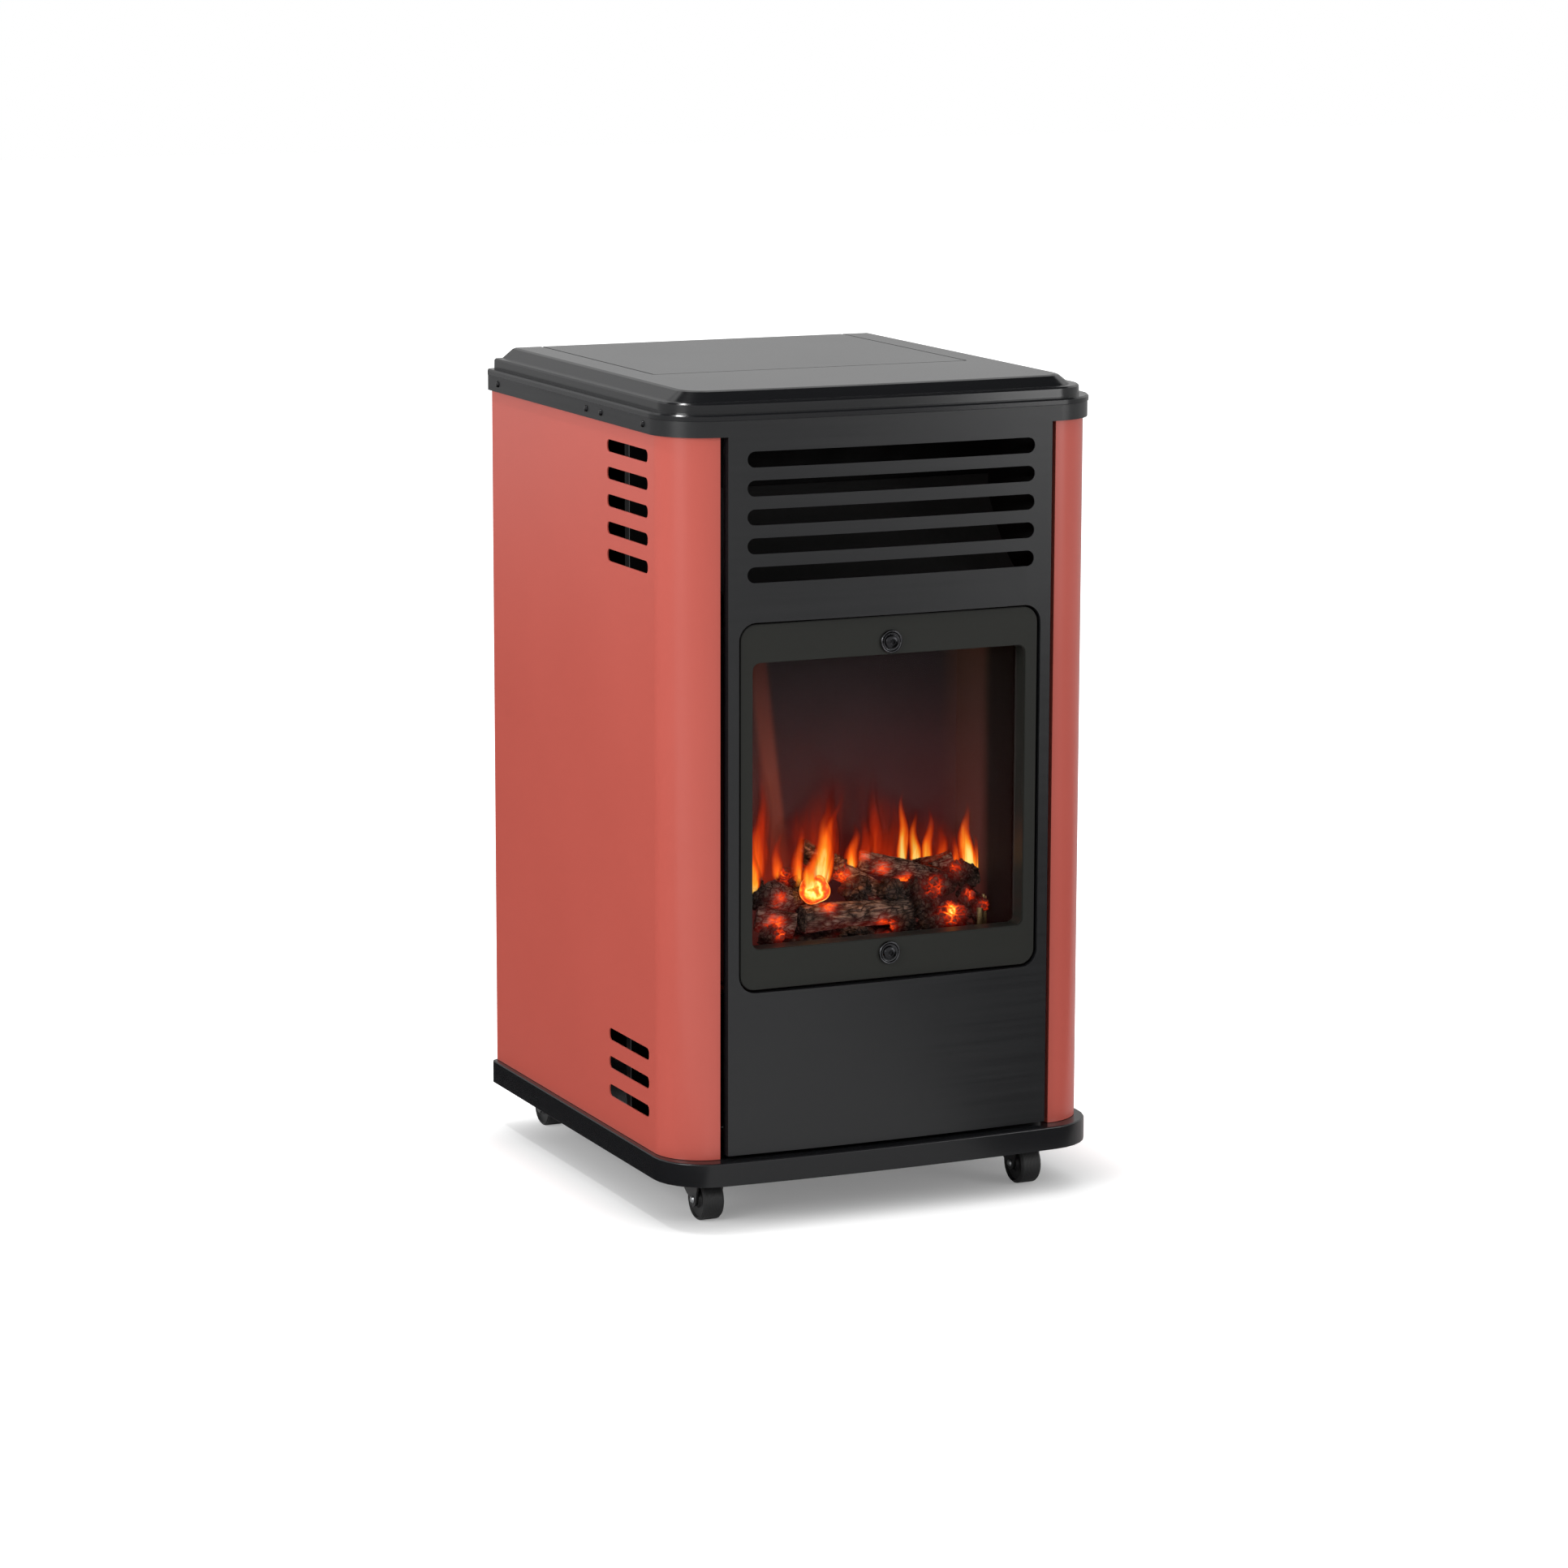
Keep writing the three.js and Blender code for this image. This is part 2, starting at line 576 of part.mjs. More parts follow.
function windowHole(grown) {
  const half = WINDOW_WIDTH / 2 + WINDOW_GAP + grown;
  return roundedRect(
    -half, half,
    WINDOW_BOTTOM - WINDOW_GAP - grown, WINDOW_TOP + WINDOW_GAP + grown,
    WINDOW_RADIUS + WINDOW_GAP + grown,
  );
}

// The folded edges of the fascia and the collar round the window, before they meet the sheet.
function fasciaReturns() {
  const half = PANEL_WIDTH / 2;
  const far = FRONT - CABINET_DEPTH;
  const depth = PANEL_EDGE + PANEL_RETURN;
  const left = block(-half, -half + SHEET, far, depth, PANEL_BOTTOM, BAND_BOTTOM + 1);
  const right = block(half - SHEET, half, far, depth, PANEL_BOTTOM, BAND_BOTTOM + 1);
  const foot = block(-half, half, far, depth, PANEL_BOTTOM, PANEL_BOTTOM + SHEET);
  const collar = pulledBack(frameShape(windowHole(SHEET), windowHole(0)), far, FLANGE_FRONT - FIT);
  return left.add(right).add(foot).add(collar);
}

function fasciaVents() {
  const half = VENT_HEIGHT / 2;
  return Array.from({ length: VENT_COUNT }, (_, i) => {
    const z = TOP_VENT_Z - i * VENT_PITCH;
    const slot = roundedRect(-VENT_WIDTH / 2, VENT_WIDTH / 2, z - half, z + half, half);
    return pulledBack(slot, FRONT - CABINET_DEPTH, PANEL_EDGE + PANEL_RETURN, 4);
  });
}

// One pressing: the swollen front between the columns, and the band that runs on round the sides.
function frontFascia() {
  const half = PANEL_WIDTH / 2;
  const far = FRONT - CABINET_DEPTH;
  const behind = planSlab(PANEL_BOTTOM, BAND_BOTTOM + 1, BAND_OVERHANG, BAND_OVERHANG);
  const frontOnly = block(-half, half, far, PANEL_EDGE + PANEL_RETURN, PANEL_BOTTOM, BAND_TOP - 1);
  const sheet = planWall(PANEL_BOTTOM, BAND_TOP - 1, BAND_OVERHANG, BAND_OVERHANG - SHEET).intersect(frontOnly);
  const opening = pulledBack(windowHole(0), far, 0);
  const whole = sheet.add(fasciaReturns().intersect(behind)).add(band()).subtract(opening);
  const vented = fasciaVents().reduce((made, vent) => made.subtract(vent), whole);
  const hole = cylinder(BAND_SCREW_RADIUS + FIT, -SHEET * 4, SHEET * 4, 12);
  return bandScrewPlaces().reduce((made, [x, y]) => made.subtract(pointingOut(hole, x, y)), vented);
}

// ---------------------------------------------------------------- the band's screws

const BAND_SCREW_Z = (BAND_BOTTOM + SHEET + BAND_TOP) / 2;

function bandScrewPlaces() {
  return Object.values(BAND_SCREW_SETBACKS).flatMap((setback) =>
    [-1, 1].map((side) => [side * (HALF_WIDTH + BAND_OVERHANG), FRONT + setback]));
}

// Turns a piece made along +Z so that it points out of the side of the band that x lies on.
function pointingOut(solid, x, y) {
  return solid.rotate([0, Math.sign(x) * 90, 0]).translate([x, y, BAND_SCREW_Z]);
}

// A small round-head screw whose shank stops in the gap between the band and the side panel.
function bandScrew() {
  return turned([
    [0, -BAND_OVERHANG + FIT],
    [BAND_SCREW_RADIUS, -BAND_OVERHANG + FIT],
    [BAND_SCREW_RADIUS, FIT],
    [BAND_SCREW_HEAD, FIT],
    [BAND_SCREW_HEAD * 0.85, 1.1],
    [0, 1.6],
  ], 10);
}

place("front_fascia", frontFascia(), PAINT_BLACK);
for (const [side, sign] of [["left", -1], ["right", 1]])
  for (const [spot, setback] of Object.entries(BAND_SCREW_SETBACKS)) {
    const screw = pointingOut(bandScrew(), sign * (HALF_WIDTH + BAND_OVERHANG), FRONT + setback);
    place(`${side}_band_screw_${spot}`, screw, STEEL);
  }

// ---------------------------------------------------------------- window

const UPPER_SCREW_Z = WINDOW_TOP - WINDOW_SCREW_INSET;
const LOWER_SCREW_Z = WINDOW_BOTTOM + WINDOW_SCREW_INSET;

function openingShape(grown, radius = OPENING_RADIUS) {
  const half = OPENING_WIDTH / 2 + grown;
  return roundedRect(-half, half, OPENING_BOTTOM - grown, OPENING_TOP + grown, radius);
}

// Turns a piece made along +Z so that it points out of the front, at height z.
function facingFront(solid, y, z) {
  return solid.rotate([90, 0, 0]).translate([0, y, z]);
}

function windowShape(grown) {
  const half = WINDOW_WIDTH / 2 + grown;
  return roundedRect(-half, half, WINDOW_BOTTOM - grown, WINDOW_TOP + grown, WINDOW_RADIUS + grown);
}

// A shallow tray with a square hole: its outer wall and the hole's inner lip both run back to the glass.
function windowFrame() {
  const chamfer = 1;
  const back = FRAME_FRONT + FRAME_RETURN;
  const face = pulledBack(
    frameShape(windowShape(0), openingShape(0)), FRAME_FRONT + chamfer, FRAME_FRONT + FRAME_FACE,
  );
  const softened = pulledBack(
    frameShape(windowShape(-chamfer / 2), openingShape(chamfer / 2)),
    FRAME_FRONT, FRAME_FRONT + chamfer + 0.2,
  );
  const wall = pulledBack(
    frameShape(windowShape(0), windowShape(-FRAME_FACE)), FRAME_FRONT + FRAME_FACE - 0.2, FLANGE_FRONT - FIT,
  );
  const lip = pulledBack(
    frameShape(openingShape(SHEET, OPENING_RADIUS + SHEET), openingShape(0)), FRAME_FRONT + FRAME_FACE - 0.2, back,
  );
  return cutForWindowScrews(face.add(softened).add(wall).add(lip));
}

function cutForWindowScrews(solid) {
  const reach = FLANGE_BACK - FRAME_FRONT + 10;
  const hole = cylinder(SCREW_RADIUS + FIT, -reach, reach, 16);
  return solid
    .subtract(facingFront(hole, FRAME_FRONT, UPPER_SCREW_Z))
    .subtract(facingFront(hole, FRAME_FRONT, LOWER_SCREW_Z));
}

function windowGasket() {
  const ring = frameShape(openingShape(GLASS_LAP, 6), openingShape(1, 6));
  return pulledBack(ring, GASKET_FRONT, GASKET_FRONT + GASKET, 3);
}

function cupWasher() {
  const dish = SCREW_HEAD_RADIUS + 1.4;
  return turned([
    [SCREW_RADIUS + FIT, FIT],
    [CUP_RADIUS - 0.8, FIT],
    [CUP_RADIUS, 1.2],
    [CUP_RADIUS - 0.6, CUP_HEIGHT],
    [CUP_RADIUS - CUP_RIM, CUP_HEIGHT],
    [dish, 1.3],
    [SCREW_RADIUS + FIT, 1.3],
    [SCREW_RADIUS + FIT, FIT],
  ], 28);
}

// A button-head socket screw: it goes through the frame into the firebox's flange.
function windowScrew() {
  const seat = 1.3 + FIT;
  const reach = FLANGE_BACK - FRAME_FRONT + 2;
  const screw = turned([
    [0, -reach],
    [SCREW_RADIUS, -reach],
    [SCREW_RADIUS, seat],
    [SCREW_HEAD_RADIUS, seat],
    [SCREW_HEAD_RADIUS * 0.93, seat + SCREW_HEAD * 0.5],
    [SCREW_HEAD_RADIUS * 0.55, seat + SCREW_HEAD],
    [0, seat + SCREW_HEAD],
  ], 24);
  const socket = cylinder(2.4, seat + SCREW_HEAD - 2, seat + SCREW_HEAD + 1, 6);
  return screw.subtract(socket);
}

place("window_frame", windowFrame(), FRAME_GREY);
place("window_gasket", windowGasket(), FIBRE);
place("window_glass", pulledBack(openingShape(GLASS_LAP, 8), GLASS_FRONT, GLASS_FRONT + GLASS, 3), GLASS_CLEAR);
for (const [spot, z] of [["upper", UPPER_SCREW_Z], ["lower", LOWER_SCREW_Z]]) {
  place(`${spot}_cup_washer`, facingFront(cupWasher(), FRAME_FRONT, z), STEEL);
  place(`${spot}_window_screw`, facingFront(windowScrew(), FRAME_FRONT, z), STEEL);
}

// ---------------------------------------------------------------- firebox, burner and logs

// The liner's plan: splayed cheeks and a hollow-curved back, grown inwards by inset.
function linerPlan(inset, front) {
  const frontHalf = LINER_HALF - inset;
  const backHalf = LINER_BACK_WIDTH / 2 + LINER_SPREAD - inset;
  const back = FLANGE_BACK + LINER_DEPTH - inset;
  const shape = new THREE.Shape();
  shape.moveTo(frontHalf, front);
  shape.lineTo(backHalf, back);
  shape.quadraticCurveTo(0, back + 2 * LINER_BACK_BOW, -backHalf, back);
  shape.lineTo(-frontHalf, front);
  return shape;
}

function firebox() {
  const flangeEdge = 6;
  const flange = pulledBack(
    frameShape(windowHole(flangeEdge), openingShape(GLASS_LAP / 2, OPENING_RADIUS)),
    FLANGE_FRONT, FLANGE_BACK,
  );
  const shell = raised(linerPlan(0, FLANGE_BACK - SHEET / 2), LINER_BOTTOM, LINER_TOP, 10);
  const hollow = raised(linerPlan(SHEET, FLANGE_FRONT - 1), LINER_BOTTOM + SHEET, LINER_TOP + 1, 10);
  const lintel = block(
    -LINER_HALF + SHEET, LINER_HALF - SHEET,
    FLANGE_BACK - SHEET / 2, FLANGE_BACK + LINER_DEPTH * 0.35, LINER_TOP - SHEET, LINER_TOP,
  );
  const opening = pulledBack(openingShape(GLASS_LAP / 2, OPENING_RADIUS), FLANGE_FRONT - 1, FLANGE_BACK + 1);
  return cutForWindowScrews(flange.add(shell.subtract(hollow)).add(lintel).subtract(opening));
}

const TRAY_FRONT = FLANGE_BACK + 6;
const TRAY_BOTTOM = LINER_BOTTOM + SHEET + FIT;

function burnerTray() {
  const wide = TRAY_WIDTH / 2;
  const narrow = wide - TRAY_TAPER;
  const plan = (inset) => polygon([
    [-wide + inset, TRAY_FRONT + inset],
    [wide - inset, TRAY_FRONT + inset],
    [narrow - inset, TRAY_FRONT + TRAY_DEPTH - inset],
    [-narrow + inset, TRAY_FRONT + TRAY_DEPTH - inset],
  ]);
  const outer = raised(plan(0), TRAY_BOTTOM, TRAY_BOTTOM + TRAY_HEIGHT);
  return outer.subtract(raised(plan(SHEET), TRAY_BOTTOM + SHEET, TRAY_BOTTOM + TRAY_HEIGHT + 1));
}

// Rings along X whose height rolls in small lumps, over the tray's tapered floor.
function emberBed() {
  const wide = TRAY_WIDTH / 2 - SHEET - FIT * 3;
  const bottom = TRAY_BOTTOM + SHEET + FIT;
  const top = TRAY_BOTTOM + TRAY_HEIGHT;
  const y0 = TRAY_FRONT + SHEET + FIT;
  const length = TRAY_DEPTH - 2 * (SHEET + FIT);
  const steps = 18;
  const rings = [];
  for (let i = 0; i <= steps; i++) {
    const x = -wide + (2 * wide * i) / steps;
    const reach = Math.min(1, (wide - Math.abs(x)) / TRAY_TAPER + 0.02);
    const ring = [new THREE.Vector3(x, y0, bottom), new THREE.Vector3(x, y0 + length * reach, bottom)];
    const across = 5;
    for (let j = across; j >= 0; j--) {
      const share = j / across;
      const lump = 0.5 + 0.5 * Math.sin(x * 0.21 + j * 2.1) * Math.cos(x * 0.13 - j * 1.3);
      const y = y0 + length * reach * share;
      ring.push(new THREE.Vector3(x, y, top - 2 + EMBER_RISE * lump * (0.3 + share * 0.7)));
    }
    rings.push(ring);
  }
  return lofted(rings);
}

// Ceramic logs: their ends above the embers, girth, and the phase of their knots. Each nests on
// those before it.
const FIRE_Y = FLANGE_BACK + 26;
const LOGS = {
  front_log: { from: [-62, 0, 10], to: [64, 6, 10], girth: 13, twist: 0.4 },
  left_log: { from: [-103, 8, 13], to: [-70, -6, 6], girth: 13.5, twist: 1.7 },
  round_end_log: { from: [-90, -2, 36], to: [-42, 32, 18], girth: 13, twist: 2.6 },
  crossed_log: { from: [-50, 30, 70], to: [18, 14, 24], girth: 10.5, twist: 3.9 },
  right_log: { from: [4, 25, 54], to: [92, 18, 28], girth: 11, twist: 5.1 },
  back_log: { from: [56, 33, 38], to: [98, 22, 50], girth: 8.5, twist: 0.9 },
};

function fireLog({ from, to, girth, twist }, grown = 0) {
  const lift = LINER_BOTTOM + TRAY_HEIGHT + EMBER_RISE;
  const a = new THREE.Vector3(from[0], FIRE_Y + from[1], from[2] + lift);
  const b = new THREE.Vector3(to[0], FIRE_Y + to[1], to[2] + lift);
  const along = b.clone().sub(a);
  const length = along.length();
  along.normalize();
  const side = new THREE.Vector3(0, 0, 1).cross(along).normalize();
  const up = along.clone().cross(side);
  const sides = 12;
  const steps = 8;
  const rings = [];
  for (let i = 0; i <= steps; i++) {
    const share = i / steps;
    const centre = a.clone().addScaledVector(along, length * share);
    centre.addScaledVector(up, 1.5 * Math.sin(share * 5 + twist));
    const ring = [];
    for (let j = 0; j < sides; j++) {
      const angle = (2 * Math.PI * j) / sides;
      const knot = Math.sin(3 * angle + twist * 2 + share * 2) + 0.7 * Math.sin(5 * angle - share * 6);
      const r = girth * (1 + 0.06 * knot - 0.1 * share) + grown;
      ring.push(centre.clone().addScaledVector(side, r * Math.cos(angle)).addScaledVector(up, r * Math.sin(angle)));
    }
    rings.push(ring);
  }
  return lofted(rings);
}

// The pilot burner, its flame-sensing probe and spark electrode on one bracket.
function pilotAssembly() {
  const x = TRAY_WIDTH / 2 + 2;
  const y = TRAY_FRONT + 12;
  const foot = TRAY_BOTTOM;
  const bracket = block(x - 1, x + 12, y - 8, y + 16, foot, foot + 2)
    .add(block(x - 1, x + 12, y + 4, y + 6, foot + 1, foot + 26));
  const burner = cylinder(4, foot + 14, foot + 34, 12).translate([x + 3, y + 1, 0]);
  const probe = cylinder(1.6, foot + 16, foot + 44, 10).translate([x + 8, y + 3, 0]);
  const electrode = cylinder(1.2, foot + 12, foot + 42, 8).translate([x + 10.5, y + 4, 0]);
  return bracket.add(burner).add(probe).add(electrode);
}

place("firebox", firebox(), SOOTED_STEEL);
place("burner_tray", burnerTray(), SOOTED_STEEL);
place("ember_bed", emberBed().subtract(logsGrown()), EMBER);
place("pilot_assembly", pilotAssembly(), BRASS);

function logsGrown() {
  const grown = Object.values(LOGS).map((log) => fireLog(log, FIT));
  return grown.reduce((all, log) => all.add(log));
}

let nested = null;
for (const [name, log] of Object.entries(LOGS)) {
  const whole = fireLog(log);
  place(name, nested ? whole.subtract(nested) : whole, CERAMIC_LOG);
  const grown = fireLog(log, FIT);
  nested = nested ? nested.add(grown) : grown;
}

// ---------------------------------------------------------------- shield and deflector

const PIPE_X = -HALF_WIDTH + 22;
const PIPE_BACK_Y = SHIELD_FRONT + SHEET + PIPE_RADIUS + 6;
const PIPE_LOW_Z = LINER_BOTTOM - 26;

function heatShield() {
  const half = HALF_WIDTH - SHEET - FIT;
  const bottom = FLOOR_TOP + SHEET + 2 * FIT; // on the side panels' feet
  const top = BAND_BOTTOM - 4;
  const flange = 11;
  const sheet = block(-half, half, SHIELD_FRONT, SHIELD_FRONT + SHEET, bottom, top);
  const edges = [-half, half - SHEET].map((x) =>
    block(x, x + SHEET, SHIELD_FRONT, SHIELD_FRONT + flange, bottom + 4, top));
  const foot = block(-half + 20, half - 20, SHIELD_FRONT, SHIELD_FRONT + flange, bottom, bottom + SHEET);
  const passage = cylinder(PIPE_RADIUS + 3, -flange, flange, 16).rotate([90, 0, 0])
    .translate([PIPE_X, SHIELD_FRONT, PIPE_LOW_Z]);
  return sheet.add(edges[0]).add(edges[1]).add(foot).subtract(passage);
}

// A bent sheet behind the vents that throws the warm air forwards.
function heatDeflector() {
  const half = LINER_HALF + 8;
  const low = LINER_TOP + 14;
  const face = FLANGE_BACK - 2;
  const back = SHIELD_FRONT - FIT;
  const high = low + 86;
  const shape = new THREE.Shape();
  shape.moveTo(face, low - 12);
  shape.lineTo(face, low);
  shape.quadraticCurveTo((face + back) / 2, low + 6, back - SHEET, high - 16);
  shape.lineTo(back - SHEET, high);
  shape.lineTo(back, high);
  shape.lineTo(back, high - 17);
  shape.quadraticCurveTo((face + back) / 2 + SHEET, low + 4, face + SHEET, low - SHEET);
  shape.lineTo(face + SHEET, low - 12);
  return pulledAcross(shape, -half, half, 8);
}

place("heat_shield", heatShield(), STEEL);
place("heat_deflector", heatDeflector(), SOOTED_STEEL);

// ---------------------------------------------------------------- top cover and lid

// The well in the top cover that the lid closes, shrunk by inset.
function lidWell(inset) {
  const half = LID_WIDTH / 2 + LID_GAP - inset;
  const front = LID_FRONT - LID_GAP + inset;
  return roundedRect(-half, half, front, COVER_REAR + CABINET_DEPTH - inset, 3);
}

// The top cover's outside: a rolled lip, a step, a bevel and the flat top.
function coverSkin() {
  const round = 1.4;
  const rings = [
    [BAND_TOP + FIT, LIP_OVERHANG],
    [LIP_TOP - round, LIP_OVERHANG],
    [LIP_TOP, LIP_OVERHANG - round],
    [LIP_TOP, -STEP_INSET + 0.2],
    [STEP_TOP - round, -STEP_INSET],
    [STEP_TOP, -STEP_INSET - round],
    [STEP_TOP + 0.2, -BEVEL_FOOT_INSET],
    [OVERALL_HEIGHT - CROWN_EASE, -BEVEL_HEAD_INSET],
    [OVERALL_HEIGHT, -BEVEL_HEAD_INSET - 3 * CROWN_EASE],
  ];
  return lofted(rings.map(([z, grown]) => planRing(z, grown, REAR_OVERHANG)));
}

// The space under the top cover's sheet.
function coverHollow() {
  const inner = -BEVEL_HEAD_INSET - COVER_SHEET * 1.5;
  const step = planSlab(BAND_TOP - 1, STEP_TOP - COVER_SHEET, -STEP_INSET - COVER_SHEET, -COVER_SHEET);
  const crown = lofted([
    planRing(STEP_TOP - COVER_SHEET - 0.5, -BEVEL_FOOT_INSET - COVER_SHEET, -COVER_SHEET),
    planRing(LID_UNDERSIDE - 0.5, inner, -COVER_SHEET),
    planRing(LID_UNDERSIDE, inner - 2, -COVER_SHEET),
  ]);
  return step.add(crown);
}

function topCover() {
  const well = raised(lidWell(0), BAND_TOP - 1, OVERALL_HEIGHT + 1, 3);
  const collar = raised(
    frameShape(lidWell(-SHEET), lidWell(0)), LID_UNDERSIDE - COLLAR_DEPTH, LID_UNDERSIDE + 0.5, 3,
  );
  const behind = block(-CABINET_WIDTH, CABINET_WIDTH, COVER_REAR - COVER_SHEET, COVER_REAR * 9, 0, OVERALL_HEIGHT + 5);
  const skirt = block(
    -HALF_WIDTH + REAR_FLANGE, HALF_WIDTH - REAR_FLANGE,
    COVER_REAR - COVER_SHEET, COVER_REAR, COVER_SKIRT_BOTTOM, HINGE_Z - HINGE_SETBACK * 2,
  );
  const rodHole = hingeBar(HINGE_ROD_RADIUS + FIT, LID_WIDTH / 2 + 20, 16);
  return coverSkin().subtract(coverHollow()).subtract(well)
    .add(collar.subtract(behind)).add(skirt).subtract(rodHole);
}

// A bar along the lid's hinge line.
function hingeBar(radius, halfLength, segments) {
  return cylinder(radius, -halfLength, halfLength, segments).rotate([0, 90, 0])
    .translate([0, HINGE_Y, HINGE_Z]);
}

function lid() {
  const half = LID_WIDTH / 2;
  const top = raised(roundedRect(-half, half, LID_FRONT, COVER_REAR, 2.5), LID_UNDERSIDE, OVERALL_HEIGHT, 3);
  const bottom = OVERALL_HEIGHT - LID_SIDE_FLANGE;
  const sides = [-half + 1, half - 1 - SHEET].map((x) =>
    block(x, x + SHEET, LID_FRONT + 4, COVER_REAR - 1, bottom, LID_UNDERSIDE + 0.5));
  const front = block(-half + 4, half - 4, LID_FRONT + 1, LID_FRONT + 1 + SHEET, bottom + 2, LID_UNDERSIDE + 0.5);
  return top.add(sides[0]).add(sides[1]).add(front)
    .subtract(hingeBar(HINGE_ROD_RADIUS + FIT, half + 1, 16));
}

place("top_cover", topCover(), PAINT_BLACK);
place("lid", lid(), PAINT_BLACK);
place("lid_hinge_rod", hingeBar(HINGE_ROD_RADIUS, LID_WIDTH / 2 + LID_GAP + SHEET + 1, 14), STEEL);

// ---------------------------------------------------------------- controls

function controlPanel() {
  const half = LID_WIDTH / 2 + LID_GAP + SHEET;
  const front = LID_FRONT + 4;
  const back = front + CONTROL_PANEL_DEPTH;
  const top = LID_UNDERSIDE - COLLAR_DEPTH - FIT;
  const sheet = block(-half, half, front, back, CONTROL_PANEL_Z, CONTROL_PANEL_TOP);
  const ears = [-half, half - SHEET].map((x) => block(x, x + SHEET, front, back, CONTROL_PANEL_Z, top));
  const lipFront = block(-half, half, front, front + SHEET, CONTROL_PANEL_Z, top - 4);
  const lipBack = block(-half, half, back - SHEET, back, CONTROL_PANEL_Z - 12, CONTROL_PANEL_TOP);
  const stemHole = cylinder(STEM_RADIUS + 1, 0, OVERALL_HEIGHT, 20).translate([KNOB_X, KNOB_Y, 0]);
  const igniterHole = cylinder(BUTTON_RADIUS + 2.5 + FIT, 0, OVERALL_HEIGHT, 20).translate([IGNITER_X, KNOB_Y, 0]);
  return sheet.add(ears[0]).add(ears[1]).add(lipFront).add(lipBack)
    .subtract(stemHole).subtract(igniterHole);
}

// The gas tap: a cast body with a round tower for the stem and bosses for the pipes.
function gasValve() {
  const top = CONTROL_PANEL_Z - FIT;
  const bottom = top - VALVE_HEIGHT;
  const body = block(-20, 20, -17, 17, bottom + 6, top - 14);
  const tower = cylinder(12, top - 15, top, 20);
  const sump = cylinder(13, bottom, bottom + 7, 20);
  const outlet = cylinder(8, 0, 8, 6).rotate([90, 0, 0]).translate([0, -16.5, bottom + 20]);
  const inlet = cylinder(8, 0, 8, 6).rotate([0, 90, 0]).translate([19.5, 0, bottom + 20]);
  const bore = cylinder(STEM_RADIUS + FIT, top - 30, top + 1, 20);
  const whole = body.add(tower).add(sump).add(outlet).add(inlet).subtract(bore);
  const seat = cylinder(PIPE_RADIUS + FIT, 0, 6, 12).rotate([90, 0, 0]).translate([0, -19.5, bottom + 20]);
  const nozzleSeat = cylinder(4.5 + FIT, 0, 6, 12).rotate([0, 90, 0]).translate([22.5, 0, bottom + 20]);
  return whole.subtract(seat).subtract(nozzleSeat).translate([KNOB_X, KNOB_Y, 0]);
}

const KNOB_BOTTOM = CONTROL_PANEL_TOP + KNOB_TRAVEL + FIT;
const VALVE_PORT_Z = CONTROL_PANEL_Z - FIT - VALVE_HEIGHT + 20;

// A round stem with a flat, free to slide and turn in the tap's tower.
function valveStem() {
  const bottom = CONTROL_PANEL_Z - FIT - 30 + KNOB_TRAVEL + FIT;
  const top = KNOB_BOTTOM + KNOB_HEIGHT - 6;
  return cylinder(STEM_RADIUS, bottom, top, 20).translate([KNOB_X, KNOB_Y, 0]);
}

// A moulded knob with a skirt, a grip bar across the top and a blind hole for the stem.
function controlKnob() {
  const grip = KNOB_RADIUS * 0.8;
  const skirt = 5;
  const body = turned([
    [0, 0],
    [KNOB_RADIUS, 0],
    [KNOB_RADIUS, skirt],
    [KNOB_RADIUS - 2, skirt + 1.5],
    [grip, skirt + 2],
    [grip - 1, KNOB_HEIGHT - 8],
    [grip - 2.5, KNOB_HEIGHT - 7],
    [0, KNOB_HEIGHT - 7],
  ], 32);
  const bar = raised(roundedRect(-4, 4, -grip + 1, grip - 1, 3), KNOB_HEIGHT - 8, KNOB_HEIGHT, 3);
  const bore = cylinder(STEM_RADIUS + FIT, -1, KNOB_HEIGHT - 6 + FIT, 20);
  return body.add(bar).subtract(bore).translate([KNOB_X, KNOB_Y, KNOB_BOTTOM]);
}

function igniterBody() {
  const collarTop = CONTROL_PANEL_TOP + FIT + 2;
  const barrel = BUTTON_RADIUS + 2.5;
  const bottom = CONTROL_PANEL_Z - 46;
  return turned([
    [BUTTON_RADIUS - 1.5, bottom],
    [barrel, bottom],
    [barrel, CONTROL_PANEL_TOP + FIT],
    [barrel + 3.5, CONTROL_PANEL_TOP + FIT],
    [barrel + 3, collarTop],
    [BUTTON_RADIUS + FIT, collarTop],
    [BUTTON_RADIUS + FIT, CONTROL_PANEL_Z - 16],
    [BUTTON_RADIUS - 1.5, CONTROL_PANEL_Z - 16],
    [BUTTON_RADIUS - 1.5, bottom],
  ], 24).translate([IGNITER_X, KNOB_Y, 0]);
}

function igniterButton() {
  const bottom = CONTROL_PANEL_Z - 16 + BUTTON_TRAVEL + FIT;
  const top = CONTROL_PANEL_TOP + 3 + BUTTON_TRAVEL + 2;
  return turned([
    [0, bottom],
    [BUTTON_RADIUS, bottom],
    [BUTTON_RADIUS, top - 1],
    [BUTTON_RADIUS - 1, top],
    [0, top - 0.6],
  ], 24).translate([IGNITER_X, KNOB_Y, 0]);
}

// The brass tail that the gas hose pushes on to.
function hoseNozzle() {
  return turned([
    [0, 0],
    [4.5, 0],
    [4.5, 5],
    [7, 5.6],
    [7, 9],
    [4, 10],
    [5, 12],
    [4.2, 16],
    [5, 18],
    [4.2, 22],
    [4, 27],
    [0, 27],
  ], 14).rotate([0, 90, 0]).translate([KNOB_X + 22.5 + FIT, KNOB_Y, VALVE_PORT_Z]);
}

